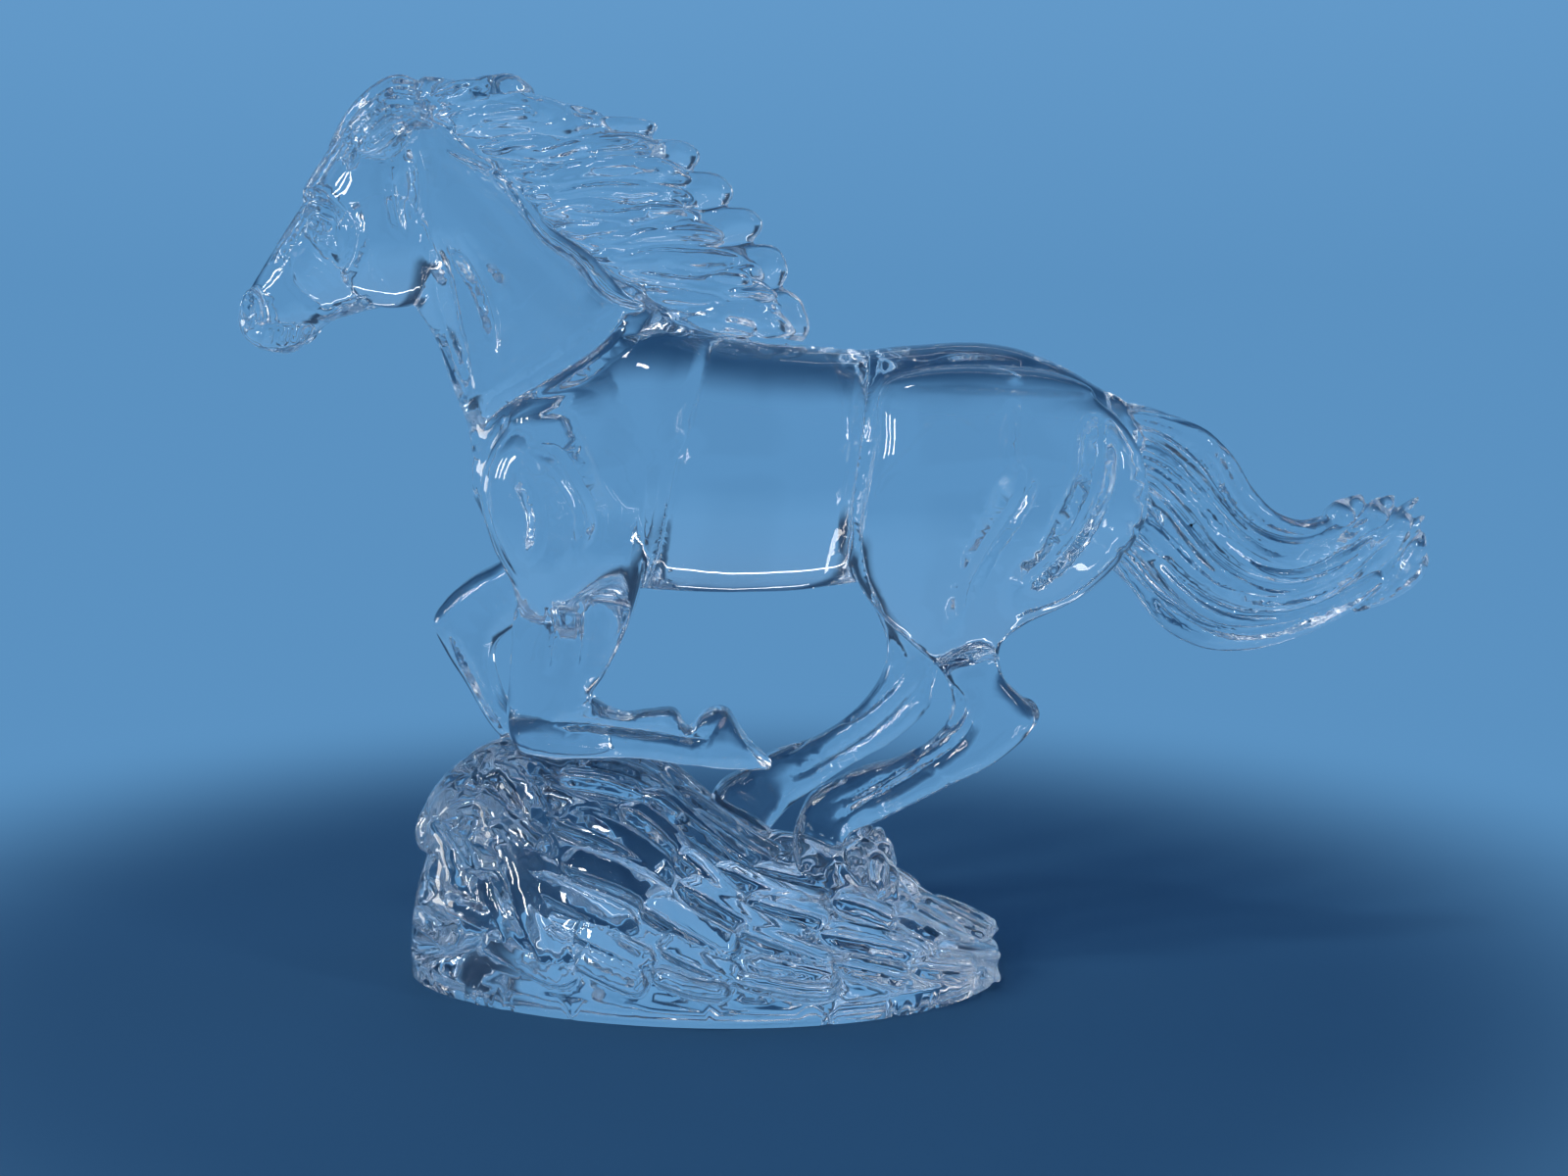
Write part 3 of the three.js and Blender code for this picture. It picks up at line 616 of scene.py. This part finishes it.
def blade(lengthwise, turned, fall, length, half_width, half_thickness, power):
    """A blade of grass laid along the mound. Its middle is at a share of the mound's half length and
    of the way round its side, and it falls down that side by a share along its length."""
    path = []
    for step in range(7):
        share = step / 6 - 0.5
        l = lengthwise + length * share / (0.5 * BASE_LENGTH)
        t = turned + math.copysign(fall, turned) * share
        l, t = min(max(l, -0.94), 0.97), min(max(t, -0.87), 0.87)
        sideways = math.sin(0.5 * math.pi * t)
        sink = 0.3 + 0.3 * math.sin(math.pi * (share + 0.5))
        path.append(mound_point(l, sideways) + mound_outward(l, sideways) * half_thickness * sink)
    if (path[-1] - path[0]).length > 0.003:
        outward = mound_outward(min(max(lengthwise, -0.98), 0.98), math.sin(0.5 * math.pi * turned))
        lock(path, half_width, half_thickness, outward, root=0.12, tip=0.12, power=power, rows=24, sides=20)


for row in range(GRASS_ROWS):
    turned = -GRASS_REACH + 2 * GRASS_REACH * (row + 0.5) / GRASS_ROWS
    lengthwise = -0.8 + 0.25 * scatter(row)
    number = 0
    while lengthwise < (0.80 if row % 2 else 0.38):
        seed = 13 * row + 97 * number
        length = mix(0.013, 0.030, scatter(seed)) * mix(1, 0.6, ease(lengthwise, 0.35, 0.8))
        here = turned + 0.04 * (scatter(seed + 1) - 0.5)
        half_gap = GRASS_REACH / GRASS_ROWS
        one = mound_point(min(lengthwise, 0.95), math.sin(0.5 * math.pi * (here - half_gap)))
        other = mound_point(min(lengthwise, 0.95), math.sin(0.5 * math.pi * (here + half_gap)))
        widest = min(0.5 * (other - one).length * mix(1, 1.7, ease(lengthwise, 0.3, 0.5)), 0.0036)
        half_width = widest * mix(0.72, 0.92, scatter(seed + 2))
        half_thickness = mix(0.0020, 0.0032, scatter(seed + 3)) * mix(1, 0.75, ease(lengthwise, 0.3, 0.9))
        middle = lengthwise + length / BASE_LENGTH
        fall = 0.07 * scatter(seed + 4) - 0.14 * ease(abs(here), 0, 0.5)
        blade(middle, here, fall, length, half_width, half_thickness, 4.0)
        lengthwise += (2 * length - 0.002 + 0.004 * scatter(seed + 5)) / BASE_LENGTH
        number += 1
for k in range(END_BLADES):
    seed = 29 * k + 3
    lengthwise = -0.85 + 0.34 * ((k * SPREAD_ALONG) % 1.0) ** 1.3
    turned = -0.72 + 1.44 * ((k * SPREAD_ROUND) % 1.0)
    fall, length = 0.6 * scatter(seed + 1) - 0.1, 0.007 + 0.006 * scatter(seed + 3)
    half_width, half_thickness = 0.0018 + 0.0010 * scatter(seed + 4), 0.0024 + 0.0010 * scatter(seed + 5)
    blade(lengthwise, turned, fall, length, half_width, half_thickness, 4.6)

# Tufts that stand against the folded knee, and the rough clump behind the hind hooves
TUFTS = [
    (-17.6, -1.0, 19.6, -13.0, 1.6), (-16.4, 1.6, 20.2, -12.0, 1.6), (-15.2, -2.6, 20.0, -11.0, 1.6),
    (-18.6, 1.2, 18.4, -14.0, 1.4), (-16.9, -3.4, 18.6, -12.6, 1.2),
]
for x, y, z, foot, width in TUFTS:
    heights = (0.45, 0.65, 0.85, 1)
    path = [placed((mix(foot, x, step / 3), y, z * share)) for step, share in enumerate(heights)]
    lock(path, width * UNIT, 1.2 * SIDE_UNIT, root=0.3, tip=0.3, power=3.4)
clump_top = smooth_line([
    (12.7, 0, 12.4), (15.2, 0, 12.2), (15.9, 0, 8.8), (17.6, 0, 7.0), (20.4, 0, 4.2), (22.5, 0, 3.4),
    (24.4, 0, 1.6),
])
for k in range(CLUMP_STUBS):
    share = (k + scatter(k + 70)) / CLUMP_STUBS
    spot = clump_top(share)
    sideways = mix(-6.5, 6.5, (k * SPREAD_ALONG) % 1.0) * mix(0.6, 1.1, share)
    top = spot.z - 0.10 * abs(sideways) - 1.2 * scatter(k + 200)
    stub = [
        placed((spot.x, sideways, max(top - 4.2, 0.6))),
        placed((spot.x - 0.3, sideways, max(top - 2.0, 0.9))),
        placed((spot.x, sideways, max(top, 1.3))),
    ]
    half_width, half_thickness = mix(0.8, 1.3, scatter(k)) * UNIT, mix(0.9, 1.4, scatter(k + 9)) * SIDE_UNIT
    lock(stub, half_width, half_thickness, root=0.2, tip=0.25, power=4.2, sides=20)

# ONE PRESSING
# All the forms flow together in the mould into one solid. The skin is drawn over them at half a
# millimetre, softened as fire polish softens it, and ground flat underneath.
VOXEL = 0.00048
TRIANGLES = 197000
mesh = bpy.data.meshes.new("crystal_horse_glass")
pressing.to_mesh(mesh)
pressing.free()
horse = bpy.data.objects.new("crystal_horse_glass", mesh)
bpy.context.scene.collection.objects.link(horse)


def settle(piece):
    """Puts the modifiers of a piece into its mesh."""
    shaped = piece.evaluated_get(bpy.context.evaluated_depsgraph_get())
    final = bpy.data.meshes.new_from_object(shaped)
    piece.modifiers.clear()
    old = piece.data
    piece.data = final
    bpy.data.meshes.remove(old)


skin = horse.modifiers.new("one skin", "REMESH")
skin.mode = "VOXEL"
skin.voxel_size = VOXEL
polish = horse.modifiers.new("fire polish", "SMOOTH")
polish.factor = 0.5
polish.iterations = 3
settle(horse)

# The underside is ground flat, level with what it stands on
skin_now = bmesh.new()
skin_now.from_mesh(horse.data)
bmesh.ops.bisect_plane(skin_now, geom=skin_now.verts[:] + skin_now.edges[:] + skin_now.faces[:], dist=1e-7,
                       plane_co=(0, 0, 0), plane_no=(0, 0, 1), clear_inner=True)
loose_rim = [edge for edge in skin_now.edges if edge.is_boundary]
bmesh.ops.holes_fill(skin_now, edges=loose_rim, sides=0)
bmesh.ops.triangulate(skin_now, faces=skin_now.faces)
skin_now.verts.ensure_lookup_table()

# CARVED LINES
# The lines that were cut in the mould for muscle, tendon, face and hair. Each follows a line of the
# side view, and is cut where that line first meets the skin, looked at from a sideways place. Both
# sides have the same ones, apart from the hair, which is plainer on the hidden side.
CARVING_STEP = 0.0005
WELL_OUTSIDE = 16
ABOVE_THE_MOUND = 0.045
touched = BVHTree.FromBMesh(skin_now)
close_by = KDTree(len(skin_now.verts))
for vert in skin_now.verts:
    close_by.insert(vert.co, vert.index)
close_by.balance()
sunk = {}


def carve(path, width, depth, start, towards):
    """A groove, or with a negative depth a ridge: its line and half width in units, depth in metres."""
    line = smooth_line([(x, 0, z) for x, z in path])
    length = sum((line((k + 1) / 20) - line(k / 20)).length for k in range(20)) * UNIT
    steps = max(2, int(length / CARVING_STEP))
    for step in range(steps + 1):
        share = step / steps
        spot = line(share)
        origin = Vector((spot.x * UNIT, start * SIDE_UNIT, spot.z * UNIT))
        met = touched.ray_cast(origin, Vector((0, towards, 0)))[0]
        if met is None:
            continue
        here = depth * min(1.0, 5 * share, 5 * (1 - share)) if path[0] != path[-1] else depth
        for _, index, distance in close_by.find_range(met, width * UNIT):
            cut = here * (1 - distance / (width * UNIT)) ** 1.5
            if abs(cut) > abs(sunk.get(index, 0.0)):
                sunk[index] = cut


def ring(x, z, wide, tall, tilt):
    """A closed oval line of the side view."""
    lean = math.radians(tilt)
    spots = []
    for k in range(13):
        a, b = wide * math.cos(math.pi * k / 6), tall * math.sin(math.pi * k / 6)
        spots.append((
            x + a * math.cos(lean) - b * math.sin(lean),
            z + a * math.sin(lean) + b * math.cos(lean),
        ))
    spots[-1] = spots[0]
    return spots


# Each line has its half width, its depth and its spots in the side view
BODY_LINES = [
    # Haunch, elbow, and where the neck meets the shoulder
    (1.3, 0.0022, [(13.9, 53.4), (13.5, 50.0), (12.9, 44.6), (12.3, 39.6), (12.9, 35.0), (14.4, 32.4)]),
    (1.1, 0.0018, [(-0.6, 46.9), (-1.8, 44.6), (-2.6, 40.6), (-3.9, 35.1), (-5.9, 31.1)]),
    (1.0, 0.0018, [(-18.0, 46.9), (-16.7, 48.4), (-12.0, 51.2), (-8.0, 53.9), (-5.7, 56.6)]),
    # The two sides of the long neck muscle
    (1.0, 0.0023, [(-22.1, 62.8), (-20.7, 58.9), (-19.9, 54.6), (-18.6, 49.9)]),
    (1.0, 0.0020, [(-20.2, 62.6), (-17.6, 58.0), (-16.4, 53.4)]),
    # Shoulder, then haunch and buttock
    (1.0, 0.0018, [(-13.4, 45.6), (-11.6, 45.0), (-10.0, 42.6), (-9.0, 40.0), (-9.7, 37.0)]),
    (1.0, 0.0014, [(-14.6, 44.0), (-13.0, 40.4), (-13.4, 36.4)]),
    (1.0, 0.0017, [(26.2, 44.6), (26.0, 42.3), (23.3, 37.6), (21.8, 34.4), (21.4, 31.2)]),
    (1.0, 0.0017, [(32.6, 47.7), (31.9, 42.1), (29.4, 37.4), (25.9, 34.2)]),
    # Forearm
    (0.7, 0.0014, [(-12.4, 33.6), (-12.0, 30.4), (-12.6, 26.8)]),
    (0.7, 0.0014, [(-9.4, 33.0), (-9.6, 30.0), (-10.2, 27.0)]),
]
FACE_LINES = [
    # Nostril, mouth and the wrinkles of the lower lip
    (0.45, -0.0008, ring(-36.7, 56.4, 0.75, 1.4, 12)),
    (0.75, 0.0022, [(-36.8, 57.3), (-36.7, 56.4), (-36.9, 55.4)]),
    (0.5, 0.0014, [(-37.2, 54.6), (-35.6, 55.3), (-34.0, 55.4), (-32.2, 55.2)]),
    *((0.42, 0.0012, [(x, 55.2), (x - 0.15, 54.6), (x - 0.35, 53.8)]) for x in (-35.3, -34.4, -33.4, -32.5)),
    # Eye, brow and cheekbone
    (0.42, 0.0013, ring(-31.1, 63.2, 1.0, 0.7, -35)),
    (0.5, -0.0012, [(-32.6, 64.1), (-31.3, 65.1), (-29.6, 64.5), (-28.8, 62.8)]),
    (0.5, 0.0013, [(-29.1, 65.2), (-27.9, 63.1), (-28.4, 60.7), (-29.4, 59.5)]),
    # Jaw, and the edge of the nose
    (0.7, 0.0012, [(-33.1, 61.2), (-33.5, 58.9), (-32.4, 57.6), (-30.7, 56.6), (-28.4, 57.0), (-25.4, 57.6)]),
    (0.6, 0.0012, [(-30.9, 65.9), (-33.0, 62.6), (-34.9, 60.0)]),
    # Ear
    (0.6, 0.0018, [(-26.6, 69.6), (-25.4, 70.5), (-23.9, 71.4)]),
    (0.5, 0.0014, [(-22.6, 71.4), (-25.0, 68.7), (-27.5, 68.9), (-27.6, 69.9), (-24.6, 72.0), (-22.8, 72.6)]),
    # Folds behind the jaw
    (0.9, 0.0019, [(-23.4, 69.6), (-22.9, 66.6), (-23.1, 63.0)]),
    (0.9, 0.0017, [(-25.0, 67.6), (-24.6, 65.2), (-23.9, 62.4)]),
]
for side in (-1, 1):
    outside = WELL_OUTSIDE * side
    for width, depth, line in BODY_LINES + FACE_LINES:
        carve(line, width, depth, outside, -side)
    for k in range(FORELOCK_STRANDS - 1):
        line = forelock_line((k + 0.5) / (FORELOCK_STRANDS - 1), side)
        carve([(x, z) for x, _, z in line], 0.4, 0.0016, outside, -side)
    # Grooves between the strands of the mane and of the tail, on the side that shows
    for k in range(MANE_STRANDS - 1 if side < 0 else 0):
        across = (k + 0.9 + 0.2 * scatter(k + 30)) / MANE_STRANDS
        first, final = strand_roots(across), mane_tips(across)
        reach = 0.70 + 0.16 * scatter(k + 50)
        comb = []
        for step in range(6):
            along = mix(0.06, reach, step / 5)
            spot = first.lerp(final, along)
            spot.z += 0.9 * math.sin(math.pi * along) * (1 - across) + 0.3 * math.sin(9 * along + 23 * across)
            comb.append((spot.x, spot.z))
        carve(comb, 0.8, mix(0.0010, 0.0016, scatter(k + 20)), outside, -side)
    for k in range(TAIL_STRANDS - 1 if side < 0 else 0):
        across = (k + 0.9 + 0.2 * scatter(k + 80)) / TAIL_STRANDS
        reach = 0.74 + 0.14 * scatter(k + 90)
        comb = []
        for step in range(10):
            down = across + 0.03 * math.sin(5 * step / 9 + k)
            spot = tail_point(mix(0.06, reach, step / 9), min(max(down, 0.03), 0.97))
            comb.append((spot.x, spot.z))
        carve(comb, 0.8, mix(0.0011, 0.0017, scatter(k + 20)), outside, -side)
# Tendons and hooves. These also have the sideways place that the line is looked at from, and the way
# of the look: from outside the near leg, between the legs, or from outside the far leg.
near_cannon = [(-13.6, 22.8), (-7.9, 22.2), (-2.6, 21.4), (1.0, 21.0)]
near_hock = [(23.1, 25.5), (21.9, 21.5), (17.4, 17.9), (13.4, 15.5), (10.9, 13.6)]
far_hock = [(19.0, 24.9), (15.7, 21.2), (11.5, 18.1), (7.2, 15.8)]
LEG_LINES = [
    (0.7, 0.0014, near_cannon, -WELL_OUTSIDE, 1),
    (0.6, 0.0008, [(2.0, 23.6), (0.6, 21.4), (-0.2, 19.4)], -WELL_OUTSIDE, 1),
    (0.9, 0.0013, near_hock, -WELL_OUTSIDE, 1),
    (0.7, 0.0014, [(18.2, 27.5), (21.6, 24.0), (18.9, 20.8), (14.4, 17.4), (9.8, 15.2)], -WELL_OUTSIDE, 1),
    (0.6, 0.0009, [(8.0, 13.2), (9.6, 12.6), (11.6, 11.4)], -WELL_OUTSIDE, 1),
    (0.7, 0.0014, [(15.7, 29.2), (17.1, 26.0), (13.8, 22.2), (9.5, 19.6), (6.1, 17.9)], 0.4, 1),
    (0.7, 0.0014, far_hock, 0.4, 1),
    (0.7, 0.0014, [(-22.0, 30.5), (-20.4, 26.2), (-18.7, 22.6), (-17.0, 20.2)], 0.4, 1),
    (0.7, 0.0014, near_cannon, 0, -1),
    (0.9, 0.0013, near_hock, 0, -1),
    (0.7, 0.0014, far_hock, WELL_OUTSIDE, -1),
]
for width, depth, line, start, towards in LEG_LINES:
    carve(line, width, depth, start, towards)
for vert in skin_now.verts:
    # Fire polish leaves the skin slightly uneven, in waves a thumb wide
    uneven = 0.00035 * noise.noise(vert.co * 42) + 0.00012 * noise.noise(vert.co * 110)
    if vert.co.z > ABOVE_THE_MOUND:
        sunk[vert.index] = sunk.get(vert.index, 0.0) + uneven
pushed = [(skin_now.verts[index], skin_now.verts[index].normal * -depth) for index, depth in sunk.items()]
for vert, push in pushed:
    vert.co += push
skin_now.normal_update()
skin_now.to_mesh(horse.data)
skin_now.free()

# Where the skin is smooth it needs fewer faces. The shading keeps the slopes of the fine skin.
fine = KDTree(len(horse.data.vertices))
slopes = [vert.normal.copy() for vert in horse.data.vertices]
for vert in horse.data.vertices:
    fine.insert(vert.co, vert.index)
fine.balance()
thin = horse.modifiers.new("fewer faces", "DECIMATE")
thin.ratio = min(1.0, TRIANGLES / len(horse.data.polygons))
settle(horse)
for face in horse.data.polygons:
    face.use_smooth = True
shading = []
for vert in horse.data.vertices:
    _, nearest, _ = fine.find(vert.co)
    shading.append(slopes[nearest])
underneath = Vector((0, 0, -1))
corner_slopes = []
for face in horse.data.polygons:
    flat = all(horse.data.vertices[corner].co.z < 1e-6 for corner in face.vertices)
    corner_slopes += [underneath if flat else shading[corner] for corner in face.vertices]
horse.data.normals_split_custom_set(corner_slopes)
horse.data.name = "crystal_horse_glass"
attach(horse, "root")
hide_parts("crystal_horse")

# CLEAR CRYSTAL
# Clear pressed crystal, fire polished: wide shallow ripples from the mould, and a finely ground
# underside that is a little less clear.
ripple = bpy.data.node_groups.new("mould ripple", "ShaderNodeTree")
for control, usual in (("Ripple Length", 60), ("Ripple Height", 0.4)):
    socket = ripple.interface.new_socket(control, in_out="INPUT", socket_type="NodeSocketFloat")
    socket.default_value = usual
for outcome in ("Height", "Roughness"):
    ripple.interface.new_socket(outcome, in_out="OUTPUT", socket_type="NodeSocketFloat")
into = ripple.nodes.new("NodeGroupInput")
out_of = ripple.nodes.new("NodeGroupOutput")
where = ripple.nodes.new("ShaderNodeTexCoord")
waves = ripple.nodes.new("ShaderNodeTexNoise")
waves.inputs["Detail"].default_value = 1.0
ripple.links.new(where.outputs["Object"], waves.inputs["Vector"])
ripple.links.new(into.outputs["Ripple Length"], waves.inputs["Scale"])
height = ripple.nodes.new("ShaderNodeMath")
height.operation = "MULTIPLY"
ripple.links.new(waves.outputs["Fac"], height.inputs[0])
ripple.links.new(into.outputs["Ripple Height"], height.inputs[1])
ripple.links.new(height.outputs[0], out_of.inputs["Height"])
place = ripple.nodes.new("ShaderNodeSeparateXYZ")
ripple.links.new(where.outputs["Object"], place.inputs["Vector"])
ground = ripple.nodes.new("ShaderNodeMapRange")
ground.inputs["From Min"].default_value = 0.0001
ground.inputs["From Max"].default_value = 0.0004
ground.inputs["To Min"].default_value = 0.02
ground.inputs["To Max"].default_value = 0.0
ripple.links.new(place.outputs["Z"], ground.inputs["Value"])
ripple.links.new(ground.outputs["Result"], out_of.inputs["Roughness"])

crystal = bpy.data.materials.new("clear_crystal")
crystal.use_nodes = True
nodes, links = crystal.node_tree.nodes, crystal.node_tree.links
glass = nodes["Principled BSDF"]
glass.inputs["Base Color"].default_value = (0.985, 0.992, 1.0, 1)
glass.inputs["Transmission Weight"].default_value = 1.0
glass.inputs["Metallic"].default_value = 0.0
glass.inputs["IOR"].default_value = 1.53
surface = nodes.new("ShaderNodeGroup")
surface.node_tree = ripple
surface.inputs["Ripple Length"].default_value = 45
surface.inputs["Ripple Height"].default_value = 1.0
links.new(surface.outputs["Roughness"], glass.inputs["Roughness"])
bump = nodes.new("ShaderNodeBump")
bump.inputs["Strength"].default_value = 0.25
bump.inputs["Distance"].default_value = 0.0012
links.new(surface.outputs["Height"], bump.inputs["Height"])
links.new(bump.outputs["Normal"], glass.inputs["Normal"])
horse.data.materials.clear()
horse.data.materials.append(crystal)

# FLOOR
# A plain blue sheet of paper. It is deeper in colour round the horse, and runs out to a horizon of
# the same colour as the foot of the sky, so that no edge shows.
HORIZON = (0.105, 0.285, 0.535, 1)
floor_mesh = bpy.data.meshes.new("floor")
sheet = bmesh.new()
bmesh.ops.create_circle(sheet, cap_ends=True, segments=96, radius=12)
bmesh.ops.translate(sheet, verts=sheet.verts, vec=(0, 0, -0.0001))
sheet.to_mesh(floor_mesh)
sheet.free()
floor = bpy.data.objects.new("floor", floor_mesh)
bpy.context.scene.collection.objects.link(floor)
paper = bpy.data.materials.new("floor_paper")
paper.use_nodes = True
paper_nodes, paper_links = paper.node_tree.nodes, paper.node_tree.links
near_paper = paper_nodes["Principled BSDF"]
near_paper.inputs["Base Color"].default_value = (0.034, 0.12, 0.24, 1)
near_paper.inputs["Roughness"].default_value = 0.8
near_paper.inputs["Specular IOR Level"].default_value = 0.2
far_paper = paper_nodes.new("ShaderNodeEmission")
far_paper.inputs["Color"].default_value = HORIZON
spot_on_floor = paper_nodes.new("ShaderNodeTexCoord")
reach = paper_nodes.new("ShaderNodeVectorMath")
reach.operation = "LENGTH"
paper_links.new(spot_on_floor.outputs["Object"], reach.inputs[0])
fade = paper_nodes.new("ShaderNodeMapRange")
fade.interpolation_type = "SMOOTHERSTEP"
fade.inputs["From Min"].default_value = 0.12
fade.inputs["From Max"].default_value = 0.32
paper_links.new(reach.outputs["Value"], fade.inputs["Value"])
blend = paper_nodes.new("ShaderNodeMixShader")
paper_links.new(fade.outputs["Result"], blend.inputs["Fac"])
paper_links.new(near_paper.outputs["BSDF"], blend.inputs[1])
paper_links.new(far_paper.outputs["Emission"], blend.inputs[2])
paper_links.new(blend.outputs["Shader"], paper_nodes["Material Output"].inputs["Surface"])
floor_mesh.materials.append(paper)

# SKY
# The studio round the horse: pale blue at the horizon, and deep blue overhead. Above the horizon its
# walls are darker in five places between the lights, which gives clear glass its dark lines.
DARK_WALLS = 5
COLOUR_A, COLOUR_B, MIXED_COLOUR = 6, 7, 2
world = bpy.data.worlds.new("studio")
bpy.context.scene.world = world
world.use_nodes = True
sky_nodes, sky_links = world.node_tree.nodes, world.node_tree.links
sky = sky_nodes["Background"]
direction = sky_nodes.new("ShaderNodeTexCoord")
height_of = sky_nodes.new("ShaderNodeSeparateXYZ")
sky_links.new(direction.outputs["Generated"], height_of.inputs["Vector"])
shades = sky_nodes.new("ShaderNodeValToRGB")
shades.color_ramp.elements[0].position = 0.0
shades.color_ramp.elements[0].color = HORIZON
shades.color_ramp.elements[1].position = 1.0
shades.color_ramp.elements[1].color = (0.012, 0.03, 0.08, 1)
SKY_BANDS = [(0.16, (0.13, 0.33, 0.60, 1)), (0.75, (0.15, 0.34, 0.60, 1)), (0.93, (0.03, 0.07, 0.17, 1))]
for position, colour in SKY_BANDS:
    shades.color_ramp.elements.new(position).color = colour
sky_links.new(height_of.outputs["Z"], shades.inputs["Fac"])


def sky_math(operation, *values):
    """The outcome of a math node of the sky, over numbers or other nodes' outputs."""
    node = sky_nodes.new("ShaderNodeMath")
    node.operation = operation
    for socket, value in zip(node.inputs, values):
        if isinstance(value, bpy.types.NodeSocket):
            sky_links.new(value, socket)
        else:
            socket.default_value = value
    return node.outputs[0]


def sky_range(value, low, high, at_low, at_high):
    """A smooth change of the sky from one level to another."""
    node = sky_nodes.new("ShaderNodeMapRange")
    node.interpolation_type = "SMOOTHSTEP"
    node.inputs["From Min"].default_value = low
    node.inputs["From Max"].default_value = high
    node.inputs["To Min"].default_value = at_low
    node.inputs["To Max"].default_value = at_high
    sky_links.new(value, node.inputs["Value"])
    return node.outputs["Result"]


round_the_room = sky_math("ARCTAN2", height_of.outputs["Y"], height_of.outputs["X"])
wave = sky_math("SINE", sky_math("MULTIPLY", round_the_room, DARK_WALLS))
wall_shade = sky_range(wave, -0.9, -0.1, 0.92, 0.0)
high_enough = sky_range(height_of.outputs["Z"], 0.10, 0.20, 0.0, 1.0)
walls = sky_nodes.new("ShaderNodeMix")
walls.data_type = "RGBA"
walls.inputs[COLOUR_B].default_value = (0.01, 0.02, 0.05, 1)
sky_links.new(sky_math("MULTIPLY", wall_shade, high_enough), walls.inputs["Factor"])
sky_links.new(shades.outputs["Color"], walls.inputs[COLOUR_A])
sky_links.new(walls.outputs[MIXED_COLOUR], sky.inputs["Color"])
sky.inputs["Strength"].default_value = 1.0

# LIGHTS
# Soft boxes that stand well back. The tall narrow ones on the left make the warm glints, and the long
# thin ones behind make the lines along belly and jaw.
def soft_box(name, place, aim, width, height, power, colour=(1, 1, 1)):
    light = bpy.data.lights.new(name, "AREA")
    light.shape = "RECTANGLE"
    light.size = width
    light.size_y = height
    light.energy = power
    light.color = colour
    lamp = bpy.data.objects.new(name, light)
    lamp.location = place
    lamp.rotation_euler = (Vector(aim) - Vector(place)).to_track_quat("-Z", "Y").to_euler()
    bpy.context.scene.collection.objects.link(lamp)


WARM = (1.0, 0.95, 0.87)
for pane in range(3):
    pane_place = (-1.35 + 0.22 * pane, -0.6 - 0.2 * pane, 0.75)
    soft_box("window_pane", pane_place, (0, 0, 0.08), 0.07, 0.5, 3.2, WARM)
soft_box("left_panel", (-1.4, 0.3, 0.2), (0, 0, 0.06), 0.5, 0.36, 3.4, (1.0, 0.93, 0.80))
soft_box("right_strip", (1.2, -0.8, 0.6), (0, 0, 0.08), 0.06, 0.5, 2.6)
soft_box("right_panel", (1.4, 0.5, 0.3), (0, 0, 0.06), 0.15, 0.3, 0.3)
soft_box("high_strip", (0, 1.3, 1.0), (0, 0, 0.08), 1.5, 0.03, 0.25)
soft_box("higher_strip", (0.2, 0.9, 1.5), (0, 0, 0.08), 1.1, 0.03, 0.3)
soft_box("overhead", (-0.3, -0.5, 1.5), (0, 0, 0.08), 0.25, 0.10, 2.2)

# CAMERA
# It stands where the photograph was taken from, a little above the horse's back, and looks slightly
# down. Light may pass through the many walls of the glass before it is counted as lost.
camera_data = bpy.data.cameras.new("photo_camera")
camera_data.lens = 50
camera_data.sensor_width = 36
camera_data.clip_start = 0.01
camera = bpy.data.objects.new("photo_camera", camera_data)
camera.location = (0.01728, -0.4638, 0.14916)
camera.rotation_euler = (math.radians(82), 0, 0)
bpy.context.scene.collection.objects.link(camera)
bpy.context.scene.camera = camera
bpy.context.scene.cycles.max_bounces = 24
bpy.context.scene.cycles.transmission_bounces = 24
bpy.context.scene.cycles.glossy_bounces = 12
bpy.context.scene.view_settings.view_transform = "Standard"
